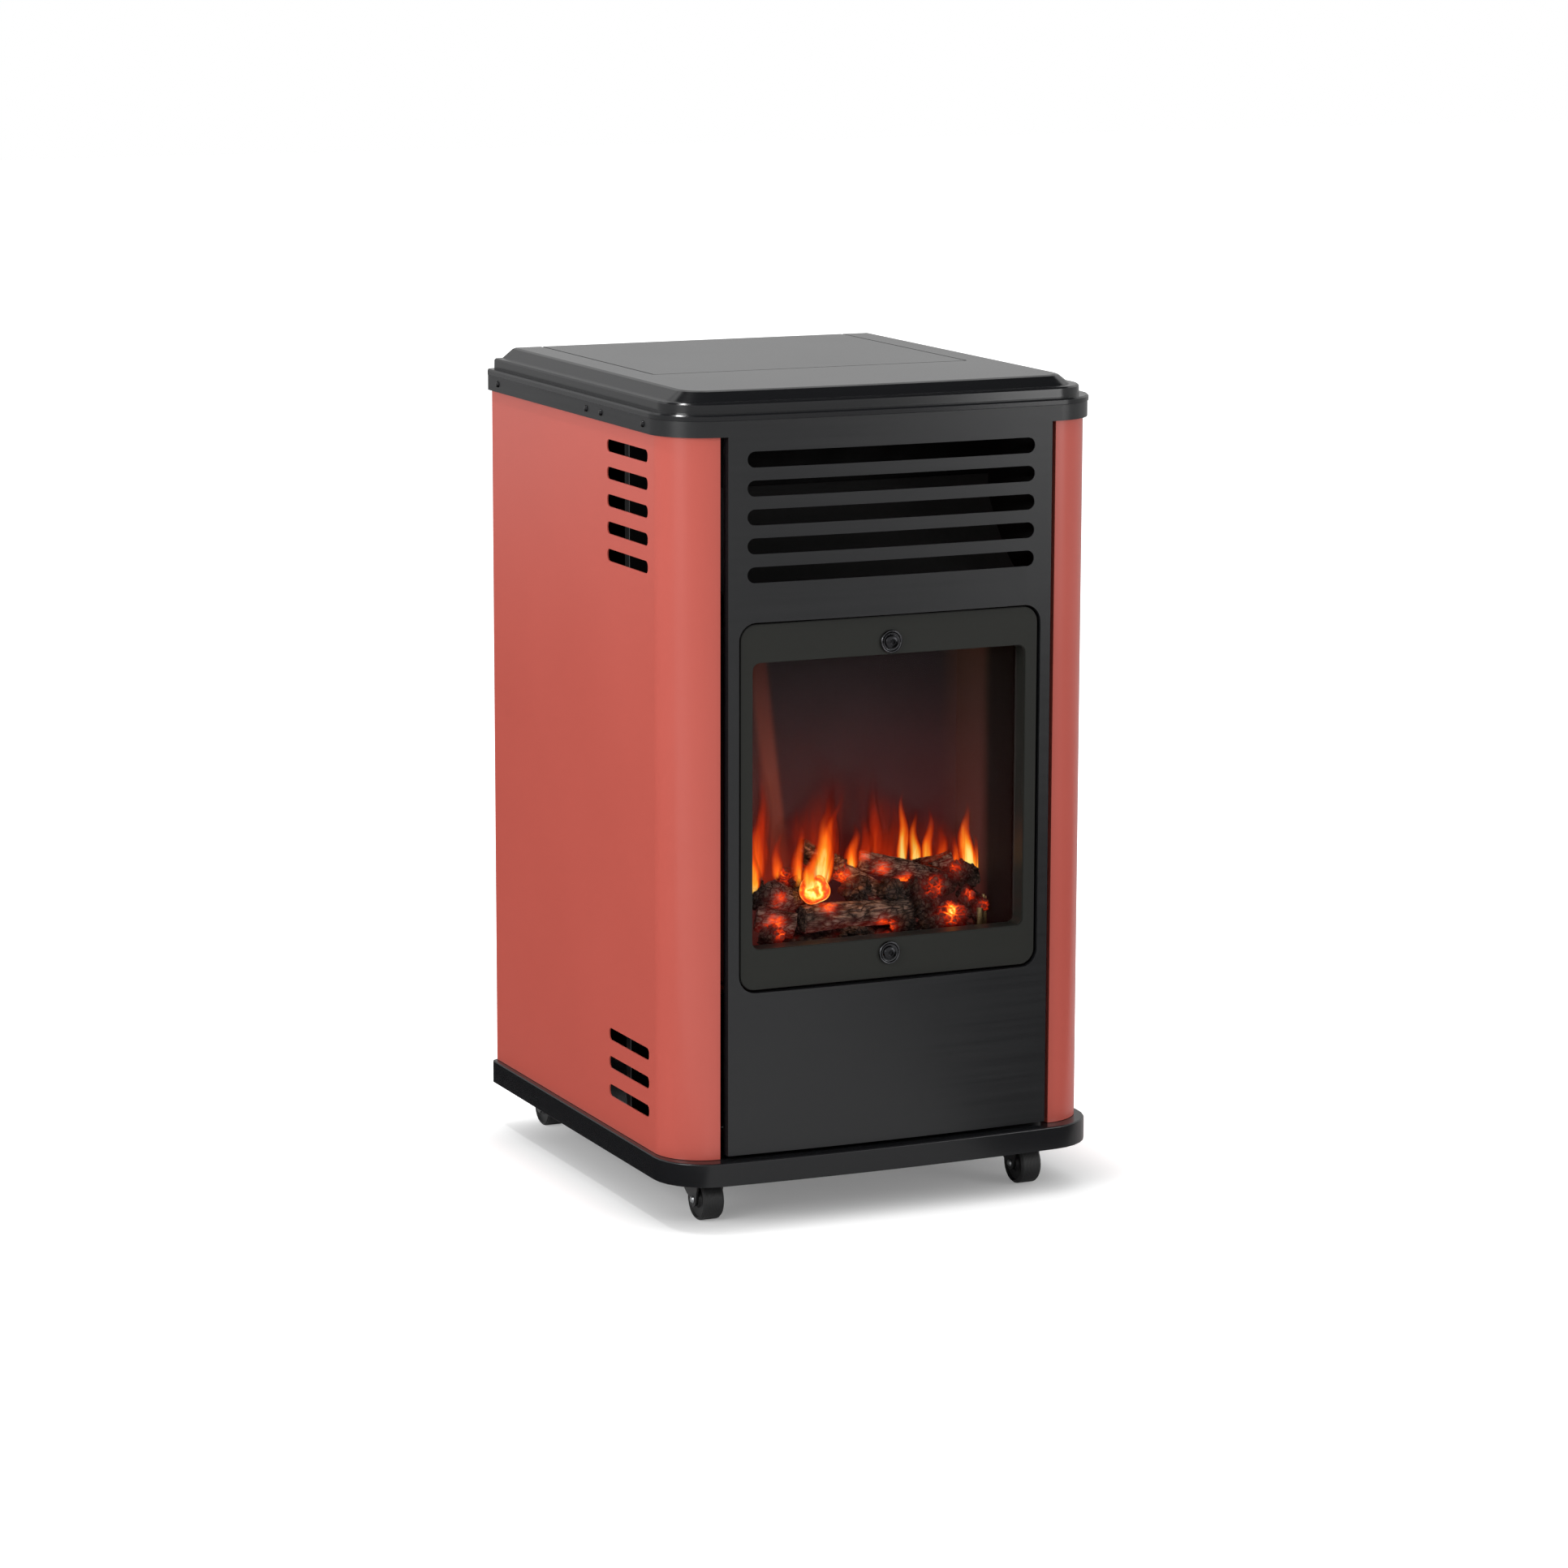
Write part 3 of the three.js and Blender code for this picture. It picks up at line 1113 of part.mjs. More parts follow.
// From the tap, along the back of the shield, down the corner and through to the burner.
function supplyPipe() {
  const start = new THREE.Vector3(KNOB_X, KNOB_Y - 19.5 - FIT, VALVE_PORT_Z);
  const points = [
    start,
    start.clone().setY(PIPE_BACK_Y + 14),
    new THREE.Vector3(KNOB_X - 14, PIPE_BACK_Y, VALVE_PORT_Z),
    new THREE.Vector3(PIPE_X + 16, PIPE_BACK_Y, VALVE_PORT_Z),
    new THREE.Vector3(PIPE_X, PIPE_BACK_Y, VALVE_PORT_Z - 16),
    new THREE.Vector3(PIPE_X, PIPE_BACK_Y, PIPE_LOW_Z + 16),
    new THREE.Vector3(PIPE_X, PIPE_BACK_Y - 8, PIPE_LOW_Z),
    new THREE.Vector3(PIPE_X, SHIELD_FRONT - 12, PIPE_LOW_Z),
    new THREE.Vector3(PIPE_X + 16, SHIELD_FRONT - 26, PIPE_LOW_Z),
    new THREE.Vector3(-TRAY_WIDTH / 2, SHIELD_FRONT - 26, PIPE_LOW_Z),
    new THREE.Vector3(-TRAY_WIDTH / 2 + 12, SHIELD_FRONT - 26, PIPE_LOW_Z + 12),
    new THREE.Vector3(-TRAY_WIDTH / 2 + 12, SHIELD_FRONT - 26, LINER_BOTTOM - FIT),
  ];
  const path = new THREE.CurvePath();
  for (let i = 0; i + 1 < points.length; i++) path.add(new THREE.LineCurve3(points[i], points[i + 1]));
  return sweptTube(path.curves, PIPE_RADIUS, 8);
}

// A round tube through the ends of straight pieces, mitred where they meet.
function sweptTube(lines, radius, sides) {
  const points = [lines[0].v1, ...lines.map((line) => line.v2)];
  let normal = new THREE.Vector3(0, 0, 1);
  const rings = points.map((point, i) => {
    const before = i ? point.clone().sub(points[i - 1]).normalize() : null;
    const after = i + 1 < points.length ? points[i + 1].clone().sub(point).normalize() : null;
    const along = (before && after ? before.clone().add(after) : before || after).normalize();
    const stretch = before && after ? 1 / Math.max(0.5, along.dot(after)) : 1;
    normal = normal.clone().addScaledVector(along, -normal.dot(along)).normalize();
    const side = along.clone().cross(normal);
    const bend = before && after ? after.clone().sub(before) : new THREE.Vector3();
    const bendLength = bend.length();
    if (bendLength > 1e-6) bend.divideScalar(bendLength);
    return Array.from({ length: sides }, (_, j) => {
      const angle = (2 * Math.PI * j) / sides;
      const spoke = normal.clone().multiplyScalar(radius * Math.cos(angle))
        .addScaledVector(side, radius * Math.sin(angle));
      if (bendLength > 1e-6) spoke.addScaledVector(bend, spoke.dot(bend) * (stretch - 1));
      return point.clone().add(spoke);
    });
  });
  return lofted(rings);
}

place("control_panel", controlPanel(), STEEL);
place("gas_valve", gasValve(), BRASS);
place("valve_stem", valveStem(), STEEL);
place("control_knob", controlKnob(), BLACK_PLASTIC);
place("igniter_body", igniterBody(), BLACK_PLASTIC);
place("igniter_button", igniterButton(), PAINT_RED);
place("hose_nozzle", hoseNozzle(), BRASS);
place("burner_supply_pipe", supplyPipe(), BRASS);

// ---------------------------------------------------------------- back of the cabinet

const REAR_COVER_TOP = COVER_SKIRT_BOTTOM - 2;

// A removable cover over the cylinder bay: a sheet with a folded rim, vents and a finger grip.
function rearCover() {
  const half = HALF_WIDTH - 6;
  const rimHalf = HALF_WIDTH - REAR_FLANGE - 2;
  const bottom = FLOOR_TOP + 3;
  const front = REAR + FIT;
  const sheet = pulledBack(roundedRect(-half, half, bottom, REAR_COVER_TOP, 4), front, front + SHEET, 3);
  const rim = pulledBack(
    frameShape(
      roundedRect(-rimHalf, rimHalf, bottom + 8, REAR_COVER_TOP - 8, 3),
      roundedRect(-rimHalf + SHEET, rimHalf - SHEET, bottom + 8 + SHEET, REAR_COVER_TOP - 8 - SHEET, 2),
    ),
    REAR - COVER_RIM, front + 0.2, 2,
  );
  const grip = pulledBack(
    roundedRect(-48, 48, REAR_COVER_TOP - 58, REAR_COVER_TOP - 30, 14), REAR - 20, REAR + 20, 5,
  );
  let cover = sheet.add(rim).subtract(grip);
  const ventHalf = 62;
  for (const x of [-80, 80])
    for (let row = 0; row < 4; row++)
      for (const z of [bottom + 60 + row * 20, REAR_COVER_TOP - 190 + row * 20]) {
        const vent = roundedRect(x - ventHalf, x + ventHalf, z - 4, z + 4, 4);
        cover = cover.subtract(pulledBack(vent, REAR - 20, REAR + 20, 2));
      }
  return cover;
}

// The channel that ties the side panels together above the bay.
function rearTopRail() {
  const half = HALF_WIDTH - SHEET - FIT;
  const top = BAND_TOP - SHEET - FIT;
  const back = REAR - SHEET - FIT;
  const depth = 16;
  const height = 15;
  const shape = polygon([
    [back - depth, top - height],
    [back - depth + SHEET, top - height],
    [back - depth + SHEET, top - SHEET],
    [back - SHEET, top - SHEET],
    [back - SHEET, top - height],
    [back, top - height],
    [back, top],
    [back - depth, top],
  ]);
  return pulledAcross(shape, -half, half);
}

place("rear_cover", rearCover(), PAINT_BLACK);
place("rear_top_rail", rearTopRail(), STEEL);

export default heater;
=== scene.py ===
import math

import bmesh
import bpy
from mathutils import Matrix, Vector, noise


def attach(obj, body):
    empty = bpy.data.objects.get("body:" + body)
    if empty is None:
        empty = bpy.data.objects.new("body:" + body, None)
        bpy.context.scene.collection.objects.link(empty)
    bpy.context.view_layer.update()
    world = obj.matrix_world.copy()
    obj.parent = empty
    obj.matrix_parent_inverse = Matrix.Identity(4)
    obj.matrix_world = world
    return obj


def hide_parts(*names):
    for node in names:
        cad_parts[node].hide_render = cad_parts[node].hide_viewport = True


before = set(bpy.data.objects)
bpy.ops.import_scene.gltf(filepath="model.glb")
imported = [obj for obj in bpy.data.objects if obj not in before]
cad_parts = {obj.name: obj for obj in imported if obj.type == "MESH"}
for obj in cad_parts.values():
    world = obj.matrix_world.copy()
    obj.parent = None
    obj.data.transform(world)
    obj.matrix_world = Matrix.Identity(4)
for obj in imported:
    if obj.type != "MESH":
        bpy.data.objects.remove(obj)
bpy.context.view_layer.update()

# The camera stands to the heater's left, well back, and looks a little down on it. Its lens is
# long, so the cabinet's upright edges stay nearly parallel.
CAMERA_PLACE = Vector((-1.921, -4.232, 1.220))
CAMERA_PITCH = math.radians(10.58)
CAMERA_YAW = math.radians(24.33)
CAMERA_ROLL = math.radians(0.14)
CAMERA_LENS = 118.65
SENSOR_WIDTH = 36

lens = bpy.data.cameras.new("photo_camera")
lens.sensor_width = SENSOR_WIDTH
lens.lens = CAMERA_LENS
camera = bpy.data.objects.new("photo_camera", lens)
camera.matrix_world = (
    Matrix.Translation(CAMERA_PLACE)
    @ Matrix.Rotation(-CAMERA_YAW, 4, "Z")
    @ Matrix.Rotation(math.pi / 2 - CAMERA_PITCH, 4, "X")
    @ Matrix.Rotation(CAMERA_ROLL, 4, "Z")
)
bpy.context.scene.collection.objects.link(camera)
bpy.context.scene.camera = camera
bpy.context.scene.view_settings.view_transform = "Standard"


# The studio is a pale floor that runs out to a white surround. A broad lamp stands front left, a
# softer one front right and a wide one overhead, with a narrow strip that draws the bright lines
# on the black edges. Black flags, which only reflections see, keep the black paint deep.
def finish(name, color, roughness, metallic=0.0, **sockets):
    """A material whose plain values stand on its own shader."""
    made = bpy.data.materials.new(name)
    made.use_nodes = True
    shader = shader_of(made)
    shader.inputs["Base Color"].default_value = (*color, 1)
    shader.inputs["Roughness"].default_value = roughness
    shader.inputs["Metallic"].default_value = metallic
    for socket, value in sockets.items():
        shader.inputs[socket.replace("_", " ")].default_value = value
    return made


def shader_of(made):
    return made.node_tree.nodes["Principled BSDF"]


def add_node(tree, kind, inputs=None, **settings):
    """A node with its settings; each input is a value, or a node and the socket it comes from."""
    node = tree.nodes.new(kind)
    for key, value in settings.items():
        setattr(node, key, value)
    for key, value in (inputs or {}).items():
        if isinstance(value, tuple) and isinstance(value[0], bpy.types.Node):
            tree.links.new(value[0].outputs[value[1]], node.inputs[key])
        else:
            node.inputs[key].default_value = value
    return node


def feed(shader, **sources):
    """Links what nodes give, each a node and its socket, to a shader's own sockets."""
    for socket, (node, output) in sources.items():
        shader.id_data.links.new(node.outputs[output], shader.inputs[socket.replace("_", " ")])


def own_point(tree):
    """The shaded point in the object's own metres."""
    return add_node(tree, "ShaderNodeTexCoord"), "Object"


def maths(tree, operation, *values):
    return add_node(tree, "ShaderNodeMath", dict(enumerate(values)), operation=operation), 0


def vectors(tree, operation, *values):
    node = add_node(tree, "ShaderNodeVectorMath", dict(enumerate(values)), operation=operation)
    return node, "Value" if operation == "LENGTH" else "Vector"


def ranged(tree, value, given, wanted, smooth="LINEAR"):
    """A value carried from one range to another."""
    return add_node(tree, "ShaderNodeMapRange", {
        "Value": value, "From Min": given[0], "From Max": given[1],
        "To Min": wanted[0], "To Max": wanted[1],
    }, interpolation_type=smooth), "Result"


def link_object(piece):
    bpy.context.scene.collection.objects.link(piece)
    return piece


def studio_card(name, placed, made, hidden_from=()):
    """A flat card of the studio, two metres wide before its matrix sizes and places it."""
    sheet = bmesh.new()
    bmesh.ops.create_grid(sheet, x_segments=1, y_segments=1, size=1)
    bmesh.ops.transform(sheet, matrix=placed, verts=sheet.verts)
    data = bpy.data.meshes.new(name)
    sheet.to_mesh(data)
    sheet.free()
    data.materials.append(made)
    card = link_object(bpy.data.objects.new(name, data))
    for rays in hidden_from:
        setattr(card, "visible_" + rays, False)


WHITE = (1, 1, 1, 1)
FLOOR_HALF = 14.0
FLOOR_COLOR = (0.72, 0.72, 0.72)
NEAR_GLOW = 0.18  # what the camera adds to the floor beside the heater
FAR_GLOW = 1.0
SHADE_HALF = (0.16, 0.14, 0)  # the patch of floor under the heater that stays in shade
SHADE_FADE = 0.22  # how far out from that patch the floor turns white

floor_paint = finish(
    "studio_floor", FLOOR_COLOR, 0.9, Specular_IOR_Level=0.0, Emission_Color=WHITE
)
tree = floor_paint.node_tree
spread = vectors(tree, "ABSOLUTE", own_point(tree))
beyond = vectors(tree, "SUBTRACT", spread, SHADE_HALF)
outside = vectors(tree, "MAXIMUM", beyond, (0, 0, 0))
away = vectors(tree, "LENGTH", outside)
fade = ranged(tree, away, (0.0, SHADE_FADE), (NEAR_GLOW, FAR_GLOW), "SMOOTHSTEP")
ray = add_node(tree, "ShaderNodeLightPath")
feed(
    shader_of(floor_paint),
    Emission_Strength=maths(tree, "MULTIPLY", fade, (ray, "Is Camera Ray")),
)
studio_card("studio_floor", Matrix.Scale(FLOOR_HALF, 4), floor_paint)

ROOM_LEVEL = 0.62  # how strongly the surround lights the heater; it looks plain white
world = bpy.data.worlds.new("white_surround")
bpy.context.scene.world = world
world.use_nodes = True
tree = world.node_tree
sky = tree.nodes["Background"]
sky.inputs["Color"].default_value = WHITE
ray = add_node(tree, "ShaderNodeLightPath")
shown = maths(tree, "MAXIMUM", (ray, "Is Camera Ray"), (ray, "Is Glossy Ray"))
shown = maths(tree, "MAXIMUM", shown, (ray, "Is Transmission Ray"))
feed(sky, Strength=ranged(tree, shown, (0.0, 1.0), (ROOM_LEVEL, 1.0)))

AIM = Vector((0, 0, 0.38))
LAMPS = {  # each lamp's place, size, watts and whether reflections show it
    "key_lamp": ((-2.5, -1.0, 1.3), (1.1, 1.1), 36, True),
    "right_lamp": ((2.5, -3.0, 1.0), (1.4, 1.4), 29, True),
    "overhead_lamp": ((0.3, -0.3, 3.6), (2.6, 2.6), 20, False),
    "edge_strip": ((-0.9, 0.1, 2.6), (0.5, 0.12), 12, True),
}
for lamp_name, (place, size, watts, mirrored) in LAMPS.items():
    light = bpy.data.lights.new(lamp_name, "AREA")
    light.shape = "RECTANGLE"
    light.size, light.size_y = size
    light.energy = watts
    lamp = link_object(bpy.data.objects.new(lamp_name, light))
    aimed = (AIM - Vector(place)).to_track_quat("-Z", "Y").to_matrix().to_4x4()
    lamp.matrix_world = Matrix.Translation(place) @ aimed
    lamp.visible_glossy = mirrored

# Each flag is a level card. Two lie just over the floor and one hangs under the overhead lamp.
FLAGS = {  # each flag's middle, half sizes and turn
    "left_flag": ((-1.525, 1.9, 0.003), (1.29, 2.4), 0),
    "right_flag": ((1.9, -2.1, 0.003), (1.1, 2.2), 18),
    "ceiling_flag": ((0.6, -0.5, 3.3), (2.6, 2.6), 0),
}
ALL_BUT_GLOSS = ("camera", "diffuse", "shadow", "transmission", "volume_scatter")
flag_cloth = finish("flag_cloth", (0.004, 0.004, 0.004), 1.0, Specular_IOR_Level=0.0)
for flag_name, (place, (half_x, half_y), turn) in FLAGS.items():
    laid = Matrix.Translation(place) @ Matrix.Rotation(math.radians(turn), 4, "Z")
    laid = laid @ Matrix.Diagonal((half_x, half_y, 1, 1))
    studio_card(flag_name, laid, flag_cloth, ALL_BUT_GLOSS)

# A grey card stands far behind, where the flat top mirrors it.
UPRIGHT = Matrix.Rotation(math.pi / 2, 4, "X")
GREY_LEVEL = 0.56
GREY_PLACE = (1.8, 4.6, 2.2)
GREY_HALF = (4.5, 2.1, 1, 1)
grey_paint = finish(
    "grey_card", (0, 0, 0), 1.0, Specular_IOR_Level=0.0, Emission_Strength=GREY_LEVEL
)
stood = Matrix.Translation(GREY_PLACE) @ UPRIGHT @ Matrix.Diagonal(GREY_HALF)
studio_card("grey_card", stood, grey_paint, ALL_BUT_GLOSS)

# A black card that only the camera sees stands inside the cabinet, where a gas cylinder would
# stand: painted shade, so that daylight from the rear cover's vents does not show through the
# slots. It is clear from behind.
SHADE_CARD_PLACE = (0, 0.205, 0.377)
SHADE_CARD_HALF = (0.198, 0.3125, 1, 1)
bay_painted_shade = finish("bay_painted_shade", (0.001, 0.001, 0.001), 1.0, Specular_IOR_Level=0.0)
tree = bay_painted_shade.node_tree
way = add_node(tree, "ShaderNodeNewGeometry")
feed(shader_of(bay_painted_shade), Alpha=maths(tree, "SUBTRACT", 1.0, (way, "Backfacing")))
hung = Matrix.Translation(SHADE_CARD_PLACE) @ UPRIGHT @ Matrix.Diagonal(SHADE_CARD_HALF)
studio_card("bay_painted_shade", hung, bay_painted_shade, ("diffuse", "glossy", "shadow"))


# The base is one black pressed-steel pan: a deck with a rolled edge, a skirt that hides the
# castors' tops, and slots in the deck that let gas drain away under the cylinder.
def mottle(tree, at, scale, detail=2.0, output="Fac"):
    """Soft noise at a point of the piece."""
    return add_node(tree, "ShaderNodeTexNoise", {
        "Vector": at, "Scale": scale, "Detail": detail,
    }), output


def stretched(tree, at, scales):
    """A point moved so that a pattern read there is drawn out along the smallest scale."""
    return add_node(tree, "ShaderNodeMapping", {"Vector": at, "Scale": scales}), "Vector"


def scaled(tree, color, amount):
    """A colour or vector times an amount."""
    inputs = {0: color, "Scale": amount}
    return add_node(tree, "ShaderNodeVectorMath", inputs, operation="SCALE"), "Vector"


def bump(made, height, depth, strength=1.0):
    """Gives a material's surface a relief, as deep as the depth in metres."""
    relief = add_node(made.node_tree, "ShaderNodeBump", {
        "Height": height, "Distance": depth, "Strength": strength,
    })
    feed(shader_of(made), Normal=(relief, "Normal"))


def powder_coat_group():
    """Orange peel, slow changes of gloss and faint level streaks, as baked powder coat has."""
    group = bpy.data.node_groups.new("powder_coat", "ShaderNodeTree")
    for name in ("Peel Scale", "Gloss", "Gloss Change", "Streak", "Shade Change"):
        group.interface.new_socket(name, in_out="INPUT", socket_type="NodeSocketFloat")
    group.interface.new_socket("Paint", in_out="INPUT", socket_type="NodeSocketColor")
    group.interface.new_socket("Color", in_out="OUTPUT", socket_type="NodeSocketColor")
    group.interface.new_socket("Height", in_out="OUTPUT", socket_type="NodeSocketFloat")
    group.interface.new_socket("Roughness", in_out="OUTPUT", socket_type="NodeSocketFloat")
    given = add_node(group, "NodeGroupInput")
    place = own_point(group)
    peel = mottle(group, place, (given, "Peel Scale"))
    slow = maths(group, "SUBTRACT", mottle(group, place, 6.0, 3.0), 0.5)
    level = stretched(group, place, (5.0, 5.0, 260.0))
    streak = maths(group, "SUBTRACT", mottle(group, level, 1.0, 3.0), 0.5)
    gloss = maths(group, "MULTIPLY_ADD", slow, (given, "Gloss Change"), (given, "Gloss"))
    rough = maths(group, "MULTIPLY_ADD", streak, (given, "Streak"), gloss)
    shade = maths(group, "MULTIPLY_ADD", slow, (given, "Shade Change"), 1.0)
    tinted = scaled(group, (given, "Paint"), shade)
    add_node(group, "NodeGroupOutput", {"Color": tinted, "Height": peel, "Roughness": rough})
    return group


POWDER_COAT = powder_coat_group()
PEEL_DEPTH = 0.00005


def coat(
    name, color, gloss, peel_scale=900.0, gloss_change=0.06, streak=0.08, shade=0.1, spec=0.4,
    peel_depth=PEEL_DEPTH,
):
    """A painted or moulded material; a peel depth of 0 leaves its relief to be added."""
    made = finish(name, color, gloss, Specular_IOR_Level=spec)
    paint = add_node(made.node_tree, "ShaderNodeGroup", {
        "Peel Scale": peel_scale, "Gloss": gloss, "Gloss Change": gloss_change,
        "Streak": streak, "Shade Change": shade, "Paint": (*color, 1),
    }, node_tree=POWDER_COAT)
    feed(shader_of(made), Roughness=(paint, "Roughness"), Base_Color=(paint, "Color"))
    if peel_depth:
        bump(made, (paint, "Height"), peel_depth, 0.35)
    return made


MERGE = 2e-6  # a CAD mesh's loose triangles meet closer than this
FLAT = math.radians(0.3)  # faces that turn less than this become one


def softened(mesh, crease, edge, rounds):
    """Rounds the edges that are sharper than the crease, and smooths the rest."""
    bmesh.ops.remove_doubles(mesh, verts=mesh.verts, dist=MERGE)
    bmesh.ops.dissolve_limit(
        mesh, angle_limit=FLAT, verts=mesh.verts, edges=mesh.edges, delimit=set()
    )
    limit = math.radians(crease)
    if edge:
        sharp = [e for e in mesh.edges if e.is_manifold and e.calc_face_angle() > limit]
        bmesh.ops.bevel(
            mesh, geom=sharp, offset=edge, offset_type="OFFSET", segments=rounds, profile=0.5,
            affect="EDGES", clamp_overlap=True, material=-1,
        )
    for side in mesh.edges:
        side.smooth = not (side.is_manifold and side.calc_face_angle() > limit)


def put(name, mesh, body, slot, made, *nodes):
    """Makes a finished mesh a piece that rides on a body and stands for CAD nodes."""
    for face in mesh.faces:
        face.smooth = True
    data = bpy.data.meshes.new(name)
    mesh.to_mesh(data)
    mesh.free()
    data.materials.append(made)
    piece = link_object(bpy.data.objects.new(name, data))
    even = piece.modifiers.new("even_normals", "WEIGHTED_NORMAL")
    even.keep_sharp = True
    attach(piece, body)
    if nodes:
        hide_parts(*nodes)


def dress(node, body, slot, made, edge=0.0, crease=35, rounds=2):
    """Stands a smooth copy of a CAD piece, with softened edges, in its place."""
    mesh = bmesh.new()
    mesh.from_mesh(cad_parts[node].data)
    softened(mesh, crease, edge, rounds)
    put(node + "_skin", mesh, body, slot, made, node)


BLACK = (0.0085, 0.0088, 0.0098)
gloss_black = coat(
    "gloss_black_powder_coat", BLACK, 0.23, gloss_change=0.04, streak=0.05, spec=0.36
)
dress("base_pan", "cabinet", "black_paint", gloss_black, edge=0.0005)


# Each castor has a zinc plate and kingpin under the deck, a moulded black fork that swivels on
# the pin, a riveted axle and a black nylon wheel whose tread has fine moulded rings.
def mixed(tree, share, low, high):
    """A colour between two."""
    return add_node(tree, "ShaderNodeMix", {0: share, 6: low, 7: high}, data_type="RGBA"), 2


def zinc_finish(name, color, low, high):
    """Zinc plate, cloudy where it was passivated, with its gloss between two roughnesses."""
    made = finish(name, color, (low + high) / 2, 1.0)
    tree = made.node_tree
    place = own_point(tree)
    cloud = mottle(tree, place, 38.0, 5.0)
    dull = tuple(0.72 * c for c in color)
    feed(
        shader_of(made),
        Roughness=ranged(tree, cloud, (0.3, 0.7), (low, high)),
        Base_Color=mixed(tree, cloud, (*dull, 1), (*color, 1)),
    )
    bump(made, mottle(tree, place, 1500.0), 0.00003, 0.3)
    return made


zinc = zinc_finish("zinc_plate", (0.5, 0.51, 0.52), 0.3, 0.5)
nylon = coat(
    "black_nylon", (0.01, 0.01, 0.0105), 0.42, peel_scale=1400, gloss_change=0.12, streak=0.0,
    spec=0.5,
)

WAVE_AT_ONE = 0.314  # the length in metres of a wave texture's wave when its scale is 1
RING_PITCH = 0.0011
tread_nylon = coat(
    "tread_nylon", (0.0125, 0.0125, 0.013), 0.5, peel_scale=1400, streak=0.0, peel_depth=0
)
tree = tread_nylon.node_tree
rings = add_node(tree, "ShaderNodeTexWave", {
    "Vector": own_point(tree), "Scale": WAVE_AT_ONE / RING_PITCH,
}, bands_direction="X")
bump(tread_nylon, (rings, "Fac"), 0.00025, 0.7)

for corner in ("front_left", "front_right", "rear_left", "rear_right"):
    dress(corner + "_castor_plate", "cabinet", "zinc_steel", zinc)
    dress(corner + "_castor_fork", corner + "_castor", "black_plastic", nylon, edge=0.0006)
    dress(corner + "_castor_axle", corner + "_castor", "zinc_steel", zinc)
    dress(corner + "_castor_wheel", corner + "_wheel", "black_plastic", tread_nylon, edge=0.0004)


# The side panels are bent from one red powder-coated sheet each: a flat side with punched slots,
# a quarter-round column at the front and a short flange inside it.
red_paint = coat(
    "red_powder_coat", (0.5, 0.093, 0.069), 0.29, peel_scale=1100, streak=0.0, spec=0.45
)
for side in ("left", "right"):
    dress(side + "_side_panel", "cabinet", "red_paint", red_paint, edge=0.0003)


# The front fascia is one black pressing: a slightly swollen panel with five punched vents and the
# window's cut-out, whose top runs on as a band round the sides of the cabinet.
satin_black = coat(
    "satin_black_powder_coat", BLACK, 0.32, gloss_change=0.1, streak=0.14, shade=0.3, spec=0.45
)
dress("front_fascia", "cabinet", "black_paint", satin_black, edge=0.0004)


# Small round-head screws of blackened steel, four on each side, are driven through the band and
# hold it to the side panels.
def steel_finish(name, color, low, high):
    """Turned or pressed metal with a fine tooled grain, its gloss between two roughnesses."""
    made = finish(name, color, (low + high) / 2, 1.0)
    tree = made.node_tree
    tooling = mottle(tree, own_point(tree), 900.0, 3.0)
    feed(shader_of(made), Roughness=ranged(tree, tooling, (0.3, 0.7), (low, high)))
    bump(made, tooling, 0.00003, 0.4)
    return made


black_steel = steel_finish("blackened_steel", (0.03, 0.03, 0.032), 0.2, 0.34)
for side in ("left", "right"):
    for place in ("front", "middle", "centre", "rear"):
        dress(f"{side}_band_screw_{place}", "cabinet", "dark_steel", black_steel)


# The window is a flat frame in heat-proof grey paint, held by two socket screws in cup washers.
# Behind it a woven gasket carries the glass.
frame_paint = coat(
    "heat_proof_grey", (0.0175, 0.018, 0.0155), 0.42, peel_scale=1300, streak=0.04, spec=0.2
)
dress("window_frame", "cabinet", "frame_paint", frame_paint, edge=0.0008, rounds=3)
washer_steel = steel_finish("browned_washer_steel", (0.085, 0.085, 0.09), 0.16, 0.28)
for place in ("upper", "lower"):
    dress(place + "_cup_washer", "cabinet", "dark_steel", washer_steel, edge=0.0003)
    dress(place + "_window_screw", "cabinet", "dark_steel", black_steel, edge=0.0003)

THREAD_SCALE = 260.0  # threads about 1.2 mm apart
gasket_tape = finish("woven_gasket", (0.12, 0.11, 0.1), 0.95)
tree = gasket_tape.node_tree
threads = {"Vector": own_point(tree), "Scale": THREAD_SCALE}
warp = add_node(tree, "ShaderNodeTexWave", threads, bands_direction="X")
weft = add_node(tree, "ShaderNodeTexWave", threads, bands_direction="Z")
bump(gasket_tape, maths(tree, "MAXIMUM", (warp, "Fac"), (weft, "Fac")), 0.0002)
dress("window_gasket", "cabinet", "gasket_fibre", gasket_tape)

CLEAN_GLASS = 0.01
SMEARED_GLASS = 0.035
fire_glass = finish(
    "fire_glass", (0.93, 0.9, 0.9), CLEAN_GLASS, Transmission_Weight=1.0, IOR=1.1,
    Specular_IOR_Level=0.05,
)
tree = fire_glass.node_tree
smear = mottle(tree, own_point(tree), 14.0, 4.0)
feed(
    shader_of(fire_glass),
    Roughness=ranged(tree, smear, (0.45, 0.8), (CLEAN_GLASS, SMEARED_GLASS)),
)
dress("window_glass", "cabinet", "fire_glass", fire_glass)


